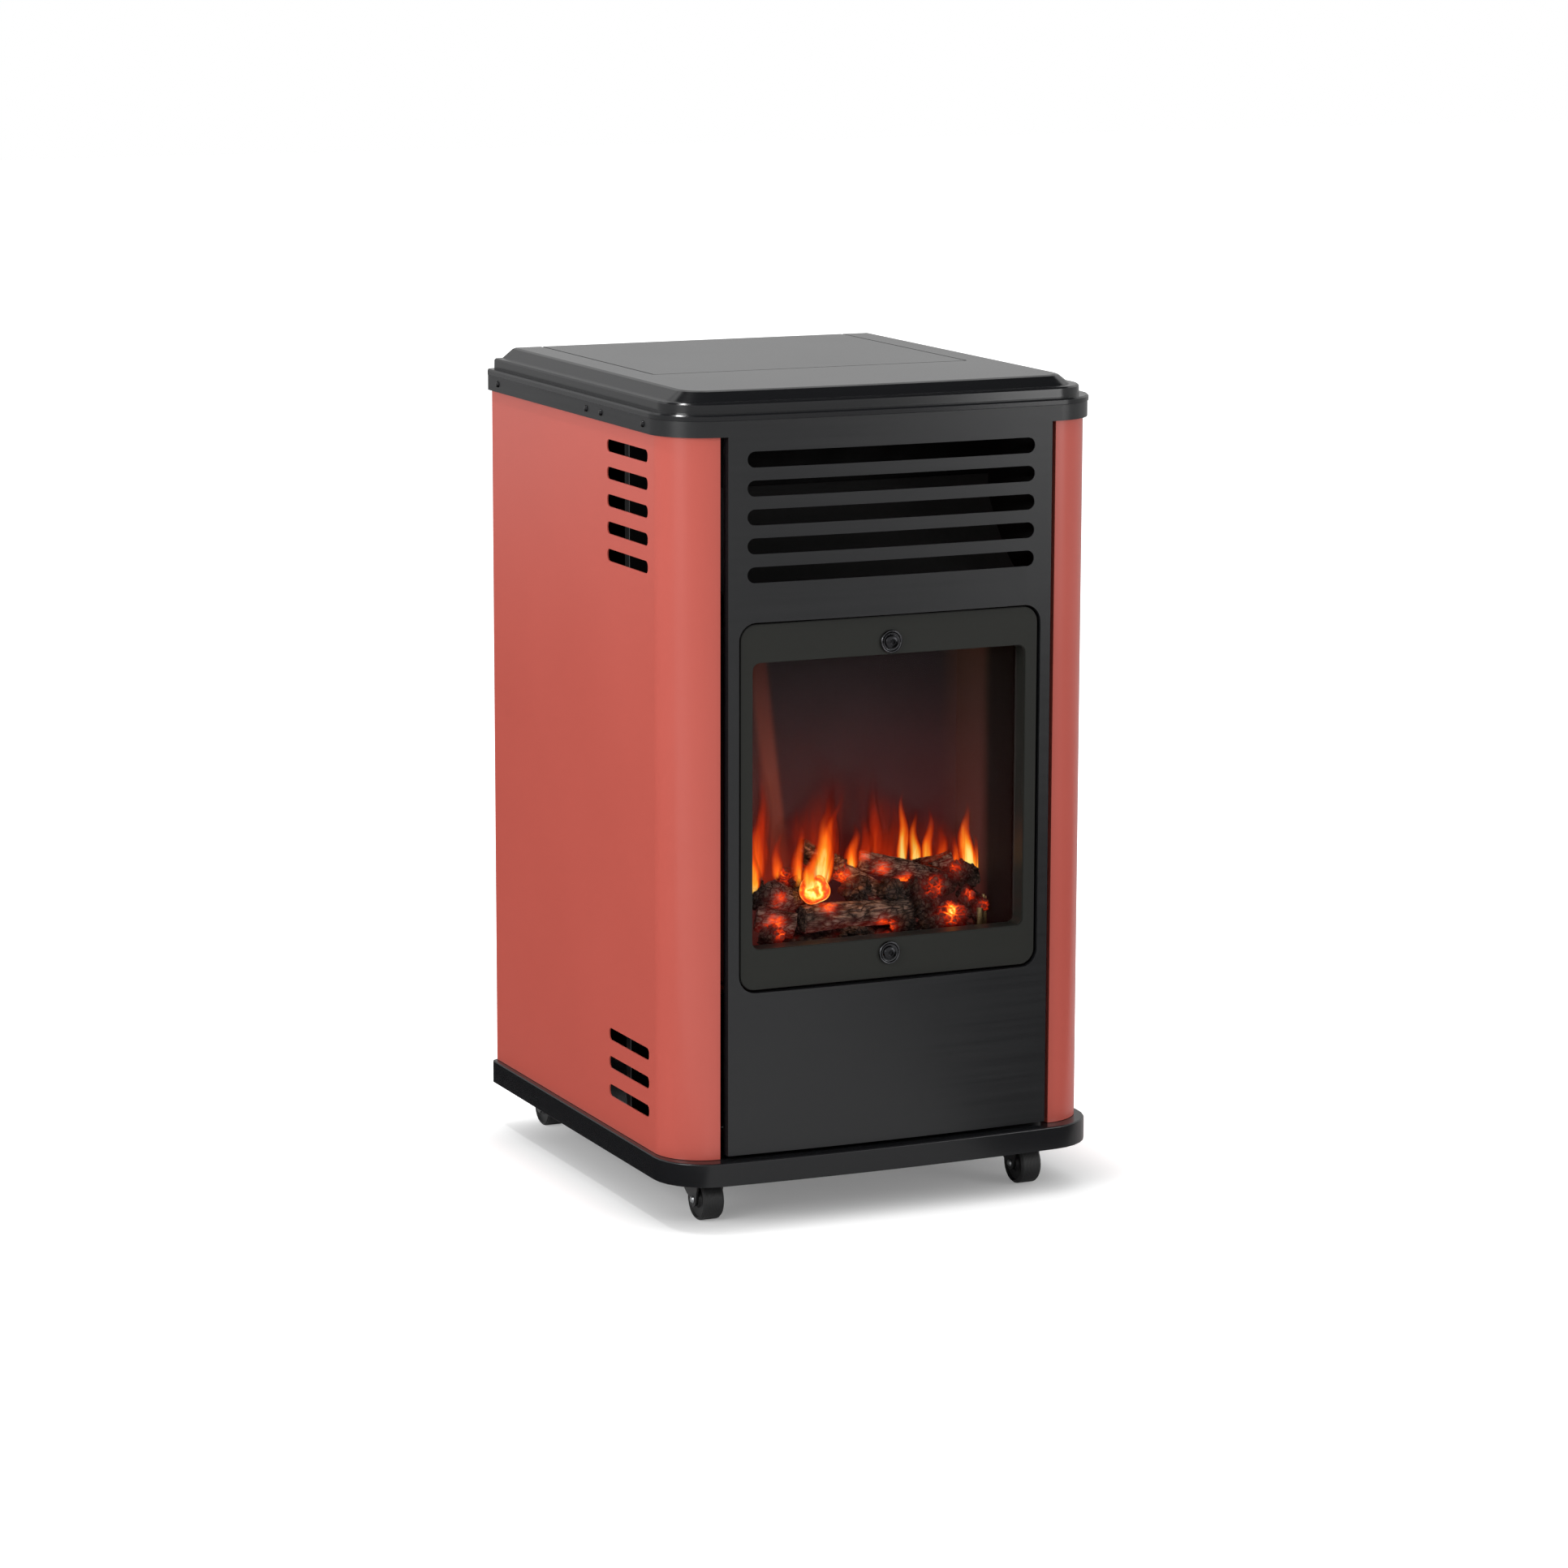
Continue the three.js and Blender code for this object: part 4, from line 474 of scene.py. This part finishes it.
# The firebox is a sheet-steel liner with splayed cheeks, browned by the fire. Its burner tray
# stands at the bottom, and a bent sheet over it throws the warm air out of the vents.
def heat_group():
    """The colour of something that glows, from dark through red and orange to pale yellow."""
    group = bpy.data.node_groups.new("heat_color", "ShaderNodeTree")
    group.interface.new_socket("Heat", in_out="INPUT", socket_type="NodeSocketFloat")
    group.interface.new_socket("Color", in_out="OUTPUT", socket_type="NodeSocketColor")
    given = add_node(group, "NodeGroupInput")
    ramp = add_node(group, "ShaderNodeValToRGB", {"Fac": (given, "Heat")})
    stops = (
        (0.0, (0, 0, 0)), (0.18, (0.06, 0.002, 0.001)), (0.4, (0.45, 0.022, 0.002)),
        (0.62, (1.0, 0.12, 0.006)), (0.8, (1.0, 0.38, 0.025)), (1.0, (1.0, 0.78, 0.22)),
    )
    while len(ramp.color_ramp.elements) < len(stops):
        ramp.color_ramp.elements.new(0.5)
    for element, (position, color) in zip(ramp.color_ramp.elements, stops):
        element.position = position
        element.color = (*color, 1)
    add_node(group, "NodeGroupOutput", {"Color": (ramp, "Color")})
    return group


HEAT_COLOR = heat_group()


def heat_color(tree, heat):
    return add_node(tree, "ShaderNodeGroup", {"Heat": heat}, node_tree=HEAT_COLOR), "Color"


def soot_finish(name, color, **sockets):
    """Sheet steel browned by heat and sooted in clouds, dark unless its sockets say more."""
    made = finish(name, color, 0.8, Specular_IOR_Level=0.25, **sockets)
    tree = made.node_tree
    place = own_point(tree)
    pale = tuple(1.7 * c for c in color)
    cloud = mixed(tree, mottle(tree, place, 16.0, 6.0), (*color, 1), (*pale, 1))
    feed(shader_of(made), Base_Color=cloud)
    bump(made, mottle(tree, place, 700.0), 0.00002, 0.05)
    return made


STREAK_LEAN = 0.125  # how far the streak leans for each metre of height


def lit_by_fire(made, lowest, streak, cheek):
    """Paints the light that the fire throws on the liner into its emission, in three colours."""
    tree = made.node_tree
    axes = add_node(tree, "ShaderNodeSeparateXYZ", {"Vector": own_point(tree)})
    x, y, z = (axes, "X"), (axes, "Y"), (axes, "Z")
    low = ranged(tree, z, (0.5, 0.3), (0.0, 1.0), "SMOOTHERSTEP")
    # the left cheek's streak of painted firelight: its inner edge leans out as it goes down
    lean = maths(tree, "MULTIPLY_ADD", z, STREAK_LEAN, x)
    inner = ranged(tree, lean, (-0.012, -0.019), (0.0, 1.0), "SMOOTHSTEP")
    outer = ranged(tree, lean, (-0.036, -0.028), (0.15, 1.0), "SMOOTHSTEP")
    top = ranged(tree, z, (0.485, 0.38), (0.25, 1.0))
    left = maths(tree, "MULTIPLY", maths(tree, "MULTIPLY", inner, outer), top)
    right = ranged(tree, x, (0.095, 0.118), (0.0, 0.35))
    red = scaled(tree, lowest, low)
    both = vectors(tree, "ADD", red, scaled(tree, streak, left))
    glow = vectors(tree, "ADD", both, scaled(tree, cheek, right))
    # the cheeks' front edges, next to the window, stay dark
    inside = ranged(tree, y, (-0.145, -0.156), (1.0, 0.08))
    cloud = shader_of(made).inputs["Base Color"].links[0].from_node
    feed(
        shader_of(made),
        Emission_Color=scaled(tree, glow, inside),
        Base_Color=scaled(tree, (cloud, 2), inside),
    )


# The liner's emission is painted light: the glow that the fire throws on its walls.
liner_steel = soot_finish("browned_liner_painted_firelight", (0.012, 0.008, 0.0095), Emission_Strength=1.0)
lit_by_fire(
    liner_steel, lowest=(0.034, 0.005, 0.005), streak=(0.105, 0.02, 0.009),
    cheek=(0.05, 0.018, 0.008),
)
sooted_steel = soot_finish("sooted_steel", (0.0045, 0.0042, 0.0042))
dress("firebox", "cabinet", "sooted_steel", liner_steel)
dress("burner_tray", "cabinet", "sooted_steel", sooted_steel)
dress("heat_deflector", "cabinet", "sooted_steel", sooted_steel)


# The embers are a bed of ceramic-fibre lumps in the tray. The burner under them makes the bed
# glow from below, hottest in a few places.
FIRE_LEVEL = 0.285  # how high the embers reach
HOT_SPOTS = (  # each spot's place in metres, its reach and how hot it is
    ((-0.0754, -0.1495, 0.3023), 0.007, 0.62),
    ((-0.0913, -0.1663, 0.2629), 0.008, 0.62),
    ((-0.0876, -0.1791, 0.2554), 0.006, 0.80),
    ((-0.0866, -0.1650, 0.2833), 0.006, 0.60),
    ((-0.0178, -0.1436, 0.2940), 0.008, 0.72),
    ((-0.0380, -0.1650, 0.2760), 0.007, 0.80),
    ((0.0059, -0.1360, 0.3104), 0.007, 0.60),
    ((0.0231, -0.1430, 0.2979), 0.007, 0.62),
    ((0.0469, -0.1404, 0.2871), 0.006, 0.80),
    ((0.0160, -0.1700, 0.2510), 0.006, 1.15),
    ((0.0683, -0.1576, 0.2797), 0.008, 0.62),
    ((0.0799, -0.1726, 0.2593), 0.009, 0.90),
    ((0.0909, -0.1495, 0.2961), 0.007, 0.52),
    ((0.0984, -0.1678, 0.2741), 0.005, 0.90),
    ((0.1143, -0.1686, 0.2606), 0.006, 0.55),
)
MOST_HEAT = 1.1


def heat_at(point):
    """How hot a point is, from its distance to each hot spot."""
    heat = 0.0
    for spot, reach, most in HOT_SPOTS:
        away = (point - Vector(spot)).length / reach
        heat = max(heat, most * math.exp(-away * away * 0.55))
    return heat


def crack_at(point, width):
    """How deep in a crack a point is, from 0 on a plate's face to 1 where two plates meet."""
    near, _ = noise.voronoi(point)
    return 1 - min(1.0, (near[1] - near[0]) / width)


def fire_layers(mesh):
    """The layers that the glowing materials read: how deep in a crack, and how hot."""
    return mesh.verts.layers.float.new("crack"), mesh.verts.layers.float.new("hotness")


def even_mesh(node, voxel):
    """A CAD solid as an even skin of small faces, for carving."""
    merged = bmesh.new()
    merged.from_mesh(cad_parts[node].data)
    bmesh.ops.remove_doubles(merged, verts=merged.verts, dist=MERGE)
    data = bpy.data.meshes.new("rough_" + node)
    merged.to_mesh(data)
    merged.free()
    rough = link_object(bpy.data.objects.new("rough_" + node, data))
    remesh = rough.modifiers.new("even", "REMESH")
    remesh.mode = "VOXEL"
    remesh.voxel_size = voxel
    evened = rough.evaluated_get(bpy.context.evaluated_depsgraph_get())
    mesh = bmesh.new()
    mesh.from_mesh(evened.to_mesh())
    evened.to_mesh_clear()
    bpy.data.objects.remove(rough)
    bpy.data.meshes.remove(data)
    mesh.normal_update()
    return mesh


def carried(tree, layer):
    """A value that the mesh carries at its points."""
    return add_node(tree, "ShaderNodeAttribute", attribute_name=layer), "Fac"


def glowing(name, dark, pale, strength, crack_glow, plates):
    """Charred fibre: dark in its cracks, paler on its ridges, and glowing where it is hot."""
    made = finish(name, dark, 0.95, Specular_IOR_Level=0.1, Emission_Strength=strength)
    tree = made.node_tree
    place = own_point(tree)
    shifted = scaled(tree, mottle(tree, place, 60.0, output="Color"), 0.006)
    bowed = vectors(tree, "ADD", place, shifted)
    cells = add_node(tree, "ShaderNodeTexVoronoi", {
        "Vector": stretched(tree, bowed, plates), "Scale": 1.0,
    }, feature="DISTANCE_TO_EDGE")
    fine = ranged(tree, (cells, "Distance"), (0.0, 0.13), (1.0, 0.0))
    crack = maths(tree, "MAXIMUM", fine, carried(tree, "crack"))
    ridge = maths(tree, "SUBTRACT", 1.0, crack)
    ash = ranged(tree, mottle(tree, place, 120.0, 6.0), (0.36, 0.62), (0.1, 1.0))
    shown = maths(tree, "MULTIPLY", ash, ridge)
    uneven = ranged(tree, mottle(tree, place, 130.0, 4.0), (0.35, 0.65), (0.6, 1.15))
    warm = maths(tree, "MULTIPLY", carried(tree, "hotness"), uneven)
    deep = ranged(tree, crack, (0.0, 1.0), (1.0 - crack_glow, 1.0))
    feed(
        shader_of(made),
        Base_Color=mixed(tree, shown, (*dark, 1), (*pale, 1)),
        Emission_Color=heat_color(tree, maths(tree, "MULTIPLY", warm, deep)),
    )
    fibre = mottle(tree, place, 700.0, 3.0)
    bump(made, maths(tree, "MULTIPLY_ADD", fibre, 0.25, ridge), 0.0007, 0.9)
    return made


EMBER_VOXEL = 0.0014
EMBER_LUMPS = 95  # how many lumps lie along a metre
EMBER_GAP = 0.28  # how wide the cracks between them are, against a lump
EMBER_CRACK = 0.0026  # how deep these cracks go
CARVED_ABOVE = FIRE_LEVEL - 0.045  # the bed's plain underside is left alone
ember_fibre = glowing(
    "ember_fibre", (0.006, 0.005, 0.0045), (0.085, 0.056, 0.043), 1.6, crack_glow=0.5,
    plates=(150, 150, 150),
)
embers = even_mesh("ember_bed", EMBER_VOXEL)
crack_layer, heat_layer = fire_layers(embers)
for vert in embers.verts:
    gap = crack_at(vert.co * EMBER_LUMPS, EMBER_GAP)
    vert[crack_layer] = gap
    between = 0.25 * gap * max(0.0, noise.noise(vert.co * 40))
    vert[heat_layer] = min(MOST_HEAT, heat_at(vert.co) + between)
    if vert.co.z > CARVED_ABOVE:
        vert.co -= vert.normal * EMBER_CRACK * gap
put("ember_lumps", embers, "cabinet", "ember_fibre", ember_fibre, "ember_bed")


# Loose broken embers of the same moulded fibre are heaped on the bed, between the logs and out to
# the firebox's cheeks.
CHUNKS = (  # place, half sizes and turn about the level axis into the fire
    ((0.082, -0.166, 0.256), (0.020, 0.011, 0.013), 12),
    ((0.060, -0.158, 0.263), (0.016, 0.012, 0.014), -20),
    ((0.104, -0.158, 0.262), (0.017, 0.012, 0.016), -8),
    ((0.078, -0.150, 0.281), (0.018, 0.012, 0.011), 8),
    ((0.103, -0.150, 0.287), (0.016, 0.011, 0.012), 24),
    ((0.052, -0.150, 0.279), (0.014, 0.011, 0.010), -34),
    ((0.026, -0.152, 0.280), (0.017, 0.011, 0.011), 16),
    ((0.034, -0.168, 0.252), (0.014, 0.009, 0.009), 4),
    ((-0.006, -0.150, 0.283), (0.015, 0.011, 0.012), -14),
    ((-0.014, -0.172, 0.248), (0.017, 0.008, 0.007), 6),
    ((0.060, -0.174, 0.248), (0.013, 0.007, 0.008), -10),
    ((-0.104, -0.150, 0.286), (0.012, 0.012, 0.014), 30),
    ((-0.098, -0.172, 0.252), (0.013, 0.009, 0.010), -24),
    ((-0.066, -0.146, 0.294), (0.018, 0.011, 0.013), 20),
    ((-0.024, -0.140, 0.303), (0.015, 0.010, 0.011), -30),
)
CHUNK_GAP = 0.16  # how wide a broken ember's cracks are, against its plates
chunks = bmesh.new()
crack_layer, heat_layer = fire_layers(chunks)
for count, (place, half, turn) in enumerate(CHUNKS):
    made = bmesh.ops.create_icosphere(chunks, subdivisions=5, radius=1)
    stand = Matrix.Translation(place) @ Matrix.Rotation(math.radians(turn), 4, "Y")
    shift = Vector((count * 5.3, 2.2, 9.1))
    for vert in made["verts"]:
        ball = vert.co.copy()
        gap = crack_at(ball * 1.5 + shift, CHUNK_GAP)
        swell = 0.9 + 0.42 * noise.noise(ball * 1.4 + shift)
        lump = swell + 0.16 * noise.noise(ball * 5 + shift) - 0.2 * gap
        vert.co = stand @ Vector(lump * ball[i] * half[i] for i in range(3))
        vert[crack_layer] = gap
        vert[heat_layer] = min(MOST_HEAT, heat_at(vert.co) * (0.75 + 0.5 * gap))
put("broken_embers", chunks, "cabinet", "ember_fibre", ember_fibre)


# One stub of a log, sawn from the same fibre, lies end-on to the window in the embers and burns
# brightest: its end glows in rings.
STUB_PLACE = Vector((-0.0515, -0.1625, 0.2885))
STUB_TOWARDS = Vector((-0.42, -0.88, 0.2))
STUB_RADIUS = 0.0135
STUB_TAPER = 0.94
STUB_LENGTH = 0.022
STUB_RIM = 0.002  # how far its rims are burnt round
STUB_ROUGHNESS = 0.0015
stub = bmesh.new()
bmesh.ops.create_cone(
    stub, cap_ends=True, segments=48, radius1=STUB_RADIUS, radius2=STUB_TAPER * STUB_RADIUS,
    depth=STUB_LENGTH,
)
rims = [edge for edge in stub.edges if edge.calc_face_angle() > 1]
bmesh.ops.bevel(
    stub, geom=rims, offset=STUB_RIM, offset_type="OFFSET", segments=4, profile=0.5,
    affect="EDGES", material=-1,
)
bmesh.ops.triangulate(stub, faces=[face for face in stub.faces if len(face.verts) > 4])
bmesh.ops.subdivide_edges(stub, edges=stub.edges, cuts=3, use_grid_fill=True)
stand = Matrix.Translation(STUB_PLACE) @ STUB_TOWARDS.to_track_quat("Z", "Y").to_matrix().to_4x4()
for vert in stub.verts:
    x, y, z = vert.co
    swell = 1 + 0.16 * noise.noise(Vector((x * 90, y * 90, 4.0)))
    rough = STUB_ROUGHNESS * noise.noise(vert.co * 200)
    vert.co = stand @ Vector((x * swell, y * swell, z + rough))
burning_end = finish(
    "burning_end", (0.05, 0.03, 0.02), 0.95, Specular_IOR_Level=0.1, Emission_Strength=1.9
)
tree = burning_end.node_tree
out = vectors(tree, "SUBTRACT", own_point(tree), tuple(STUB_PLACE))
rings = add_node(tree, "ShaderNodeTexWave", {
    "Vector": out, "Scale": 62.0, "Distortion": 5.0, "Detail": 3.0, "Detail Scale": 2.2,
}, wave_type="RINGS", rings_direction="SPHERICAL")
middle = ranged(tree, vectors(tree, "LENGTH", out), (0.0105, 0.0175), (1.0, 0.55))
ringed = ranged(tree, (rings, "Fac"), (0.0, 1.0), (0.62, 1.12))
stub_heat = maths(tree, "MULTIPLY", ringed, middle)
feed(shader_of(burning_end), Emission_Color=heat_color(tree, stub_heat))
put("burning_stub", stub, "cabinet", "log_fibre", burning_end)


# The logs are moulded in ceramic fibre, with cracked bark, sawn ends and charred undersides. They
# lie across one another on the ember bed.
LOG_RUNS = {  # the ends of each log's grain, in metres
    "front_log": ((-0.062, -0.157, 0.261), (0.064, -0.151, 0.261)),
    "left_log": ((-0.103, -0.149, 0.264), (-0.070, -0.163, 0.257)),
    "round_end_log": ((-0.090, -0.159, 0.287), (-0.042, -0.125, 0.269)),
    "crossed_log": ((-0.050, -0.127, 0.321), (0.018, -0.143, 0.275)),
    "right_log": ((0.004, -0.132, 0.305), (0.092, -0.139, 0.279)),
    "back_log": ((0.056, -0.124, 0.289), (0.098, -0.135, 0.301)),
}
LOG_VOXEL = 0.0011
BARK_CRACK = 0.0013  # how deep the cracks go
BARK_GAP = 0.16  # how wide they are, against a plate of bark
BARK_WEAR = 0.0007  # how much the bark is rubbed down in places
SAWN = 0.8  # how squarely a face looks along the grain where it is a sawn end
YEAR_RINGS = 2200  # radians of ring to a metre, so a ring is about 2.9 mm wide
log_fibre = glowing(
    "log_fibre", (0.007, 0.0055, 0.005), (0.27, 0.185, 0.14), 1.6, crack_glow=0.4,
    plates=(52, 150, 190),
)


def carve_log(name, start, end):
    """Cracks a log's bark along its grain and rings its sawn ends, always inwards."""
    start, end = Vector(start), Vector(end)
    along = (end - start).normalized()
    across = along.cross(Vector((0, 0, 1))).normalized()
    up = across.cross(along)
    log = even_mesh(name, LOG_VOXEL)
    crack_layer, heat_layer = fire_layers(log)
    shift = Vector((start.x * 300, 7.1, 3.3))
    for vert in log.verts:
        out = vert.co - start
        run = out.dot(along)
        around = math.atan2(out.dot(up), out.dot(across))
        if abs(vert.normal.dot(along)) > SAWN:
            ring = math.sqrt(max(0.0, out.length_squared - run * run))
            wobble = noise.noise(vert.co * 180)
            crack = 0.5 + 0.5 * math.sin(ring * YEAR_RINGS + 1.6 * wobble)
            crack = 0.6 * crack * crack
        else:
            grain = Vector((run * 36, math.cos(around) * 3.4, math.sin(around) * 3.4)) + shift
            grain += Vector((0.6 * noise.noise(grain * 1.7), 0, 0))
            thin = Vector((run * 120, math.cos(around) * 12, math.sin(around) * 12)) + shift
            crack = max(crack_at(grain, BARK_GAP), 0.55 * max(0.0, noise.noise(thin)) * 1.6)
        vert[crack_layer] = min(1.0, crack)
        under = 0.18 * max(0.0, -vert.normal.z) if vert.co.z < FIRE_LEVEL else 0.0
        vert[heat_layer] = min(1.05, heat_at(vert.co) + under)
        slow = 0.5 + 0.5 * noise.noise(vert.co * 70 + shift)
        vert.co -= vert.normal * (BARK_CRACK * crack + BARK_WEAR * slow)
    put(name + "_bark", log, "cabinet", "log_fibre", log_fibre, name)


for name, (start, end) in LOG_RUNS.items():
    carve_log(name, start, end)


# The flames are tongues of burning gas that stand on the embers and lick round the logs: each is
# a thin closed leaf, yellow at its root and red at its tip and edges, and clear where it is cool.
# A fainter haze of wide leaves hangs behind them, and a small lamp throws their light.
FLAMES = (  # foot (x, y, z), height, width, how hot, how far the tip leans, all in metres
    ((-0.110, -0.158, 0.285), 0.072, 0.020, 1.00, -0.003),
    ((-0.101, -0.150, 0.292), 0.108, 0.020, 0.70, 0.005),
    ((-0.092, -0.140, 0.296), 0.149, 0.019, 0.48, 0.002),
    ((-0.081, -0.146, 0.296), 0.050, 0.014, 0.75, 0.004),
    ((-0.060, -0.172, 0.290), 0.045, 0.018, 1.02, 0.002),
    ((-0.051, -0.168, 0.288), 0.085, 0.024, 1.25, 0.018),
    ((-0.043, -0.166, 0.290), 0.090, 0.018, 1.00, 0.016),
    ((-0.065, -0.156, 0.290), 0.068, 0.016, 0.85, 0.004),
    ((-0.036, -0.152, 0.290), 0.094, 0.020, 0.80, 0.010),
    ((-0.018, -0.132, 0.306), 0.097, 0.014, 0.42, -0.006),
    ((-0.004, -0.138, 0.296), 0.050, 0.018, 0.85, 0.006),
    ((0.010, -0.134, 0.298), 0.054, 0.018, 0.62, 0.008),
    ((0.024, -0.130, 0.300), 0.101, 0.018, 0.52, -0.008),
    ((0.037, -0.128, 0.300), 0.050, 0.018, 0.50, 0.006),
    ((0.052, -0.126, 0.292), 0.079, 0.014, 1.20, 0.001),
    ((0.065, -0.126, 0.290), 0.061, 0.015, 1.15, -0.003),
    ((0.077, -0.126, 0.290), 0.063, 0.014, 0.98, 0.004),
    ((0.092, -0.124, 0.290), 0.049, 0.014, 0.70, 0.004),
    ((0.108, -0.146, 0.280), 0.079, 0.021, 1.25, -0.006),
    ((0.119, -0.142, 0.280), 0.049, 0.015, 0.95, -0.004),
    ((0.098, -0.140, 0.284), 0.045, 0.014, 0.90, 0.003),
)
HAZE = (
    ((-0.085, -0.130, 0.280), 0.130, 0.085, 0.36, 0.004),
    ((-0.030, -0.124, 0.285), 0.140, 0.090, 0.42, 0.004),
    ((0.030, -0.124, 0.285), 0.125, 0.090, 0.40, -0.004),
    ((0.085, -0.128, 0.283), 0.100, 0.080, 0.36, 0.004),
)
flame_gas = finish(
    "flame_gas", (0, 0, 0), 1.0, Specular_IOR_Level=0.0, Emission_Strength=1.25
)
tree = flame_gas.node_tree
rise = carried(tree, "rise")
lick = add_node(tree, "ShaderNodeTexNoise", {
    "Vector": stretched(tree, own_point(tree), (150.0, 60.0, 26.0)), "Scale": 1.0,
    "Detail": 3.0, "Distortion": 0.6,
})
ragged = ranged(tree, (lick, "Fac"), (0.3, 0.7), (0.7, 1.1))
cooling = ranged(tree, rise, (0.1, 1.0), (1.0, 0.22))
rim = maths(tree, "POWER", carried(tree, "side"), 2.0)
core = maths(tree, "POWER", maths(tree, "SUBTRACT", 1.0, rim), 0.7)
hot = maths(tree, "MULTIPLY", carried(tree, "fuel"), cooling)
hotter = maths(tree, "MULTIPLY", hot, ragged)
burning = maths(tree, "MULTIPLY", hotter, core)
tip = ranged(tree, rise, (1.0, 0.25), (0.0, 1.0), "SMOOTHSTEP")
foot = ranged(tree, rise, (0.0, 0.15), (0.0, 1.0), "SMOOTHSTEP")
dense = ranged(tree, burning, (0.03, 0.8), (0.0, 0.8))
feed(
    shader_of(flame_gas),
    Emission_Color=heat_color(tree, burning),
    Alpha=maths(tree, "MULTIPLY", dense, maths(tree, "MULTIPLY", tip, foot)),
)

LEAF_DEPTH = 0.12  # a leaf's thickness against its width
LEAF_SWAY = 0.22  # how far its tip waves to the side, against its width


def flame_leaves(name, leaves):
    """One piece of several flames, each drawn out from a ball into a bent, pointed leaf."""
    mesh = bmesh.new()
    rise = mesh.verts.layers.float.new("rise")
    side = mesh.verts.layers.float.new("side")
    fuel = mesh.verts.layers.float.new("fuel")
    for count, ((x, y, z), height, width, hot, lean) in enumerate(leaves):
        made = bmesh.ops.create_uvsphere(mesh, u_segments=20, v_segments=26, radius=1)
        for vert in made["verts"]:
            ball = vert.co.copy()
            up = (ball.z + 1) / 2
            ring = math.sqrt(max(1e-6, 1 - ball.z * ball.z))
            swell = math.sin(math.pi * up ** 0.6) ** 0.85 * (1 - 0.35 * up)
            sway = LEAF_SWAY * width * math.sin(9 * up + 2.1 * count) * up
            vert[rise] = up
            vert[side] = min(1.0, abs(ball.x / ring)) if ring > 0.01 else 0.0
            vert[fuel] = hot
            vert.co = Vector((
                x + width / 2 * swell * ball.x / ring + lean * up * up + sway,
                y + width * LEAF_DEPTH * swell * ball.y / ring,
                z + height * up,
            ))
    put(name, mesh, "cabinet", "ember_fibre", flame_gas)


flame_leaves("flame_tongues", FLAMES)
flame_leaves("flame_haze", HAZE)

FIRE_WATTS = 0.24
FIRE_TINT = (1.0, 0.36, 0.1)
FIRE_RADIUS = 0.02
FIRE_PLACE = (-0.03, -0.168, 0.325)
fire_light = bpy.data.lights.new("fire_lamp", "POINT")
fire_light.energy = FIRE_WATTS
fire_light.color = FIRE_TINT
fire_light.shadow_soft_size = FIRE_RADIUS
fire_lamp = link_object(bpy.data.objects.new("fire_lamp", fire_light))
fire_lamp.location = FIRE_PLACE
fire_lamp.visible_camera = fire_lamp.visible_glossy = fire_lamp.visible_transmission = False


# The pilot burner stands beside the tray, with its probe and spark electrode. All of it is brass,
# turned and bent, and fixed to one bracket.
brass = steel_finish("brass", (0.55, 0.4, 0.18), 0.25, 0.42)
dress("pilot_assembly", "cabinet", "brass", brass)


# Behind the fire a bent zinc-plated sheet keeps its warmth from the cylinder. Its zinc is painted
# darker than plain plate, and all but its rear face nearly black, as painted shade.
SHIELD_FRONT = -0.106
SHIELD_SHEET = 0.001
# painted shade: the near-black colour of every face but the rear one
SHIELD_PAINTED_SHADE = (0.006, 0.0058, 0.0058, 1)
shield_zinc_painted_shade = zinc_finish("shield_zinc_painted_shade", (0.24, 0.24, 0.245), 0.45, 0.65)
tree = shield_zinc_painted_shade.node_tree
axes = add_node(tree, "ShaderNodeSeparateXYZ", {"Vector": own_point(tree)})
rear_face = maths(tree, "COMPARE", (axes, "Y"), SHIELD_FRONT + SHIELD_SHEET, 0.0004)
plate = shader_of(shield_zinc_painted_shade).inputs["Base Color"].links[0].from_node
feed(shader_of(shield_zinc_painted_shade), Base_Color=mixed(tree, rear_face, SHIELD_PAINTED_SHADE, (plate, 2)))
dress("heat_shield", "cabinet", "zinc_steel", shield_zinc_painted_shade)


# The top cover is a black pressing: a rolled lip, a step, a bevel and a flat top, with a well
# that the hinged lid closes.
cover_black = coat(
    "cover_black_powder_coat", BLACK, 0.19, gloss_change=0.03, streak=0.03, spec=0.42
)
dress("top_cover", "cabinet", "black_paint", cover_black, edge=0.0008, crease=14, rounds=3)
dress("lid", "lid", "black_paint", cover_black, edge=0.0005)
dress("lid_hinge_rod", "cabinet", "zinc_steel", zinc)


# Under the lid a zinc-plated panel carries the gas tap with its knob, and the igniter; its zinc is
# painted nearly black, as shade. A brass pipe runs from the tap to the burner, and the tap's
# nozzle takes the hose.
zinc_painted_dark_as_shade = zinc_finish("zinc_painted_dark_as_shade", (0.012, 0.0115, 0.0115), 0.6, 0.8)
red_plastic = coat("red_button", (0.42, 0.02, 0.016), 0.25, peel_scale=2000, streak=0.0, spec=0.5)
dress("control_panel", "cabinet", "zinc_steel", zinc_painted_dark_as_shade)
dress("gas_valve", "cabinet", "brass", brass)
dress("valve_stem", "stem", "zinc_steel", zinc)
dress("control_knob", "knob", "black_plastic", nylon, edge=0.0006)
dress("igniter_body", "cabinet", "black_plastic", nylon, edge=0.0003)
dress("igniter_button", "button", "red_plastic", red_plastic, edge=0.0004)
dress("hose_nozzle", "cabinet", "brass", brass)
dress("burner_supply_pipe", "cabinet", "brass", brass)


# The back of the cylinder bay is closed by a black sheet-steel cover with vents and a finger
# grip, which lifts off. Above the bay a plated channel ties the side panels together.
dress("rear_cover", "rear_cover", "black_paint", satin_black, edge=0.0004)
# The channel's zinc is painted nearly black too, as shade.
dress("rear_top_rail", "cabinet", "zinc_steel", zinc_painted_dark_as_shade)
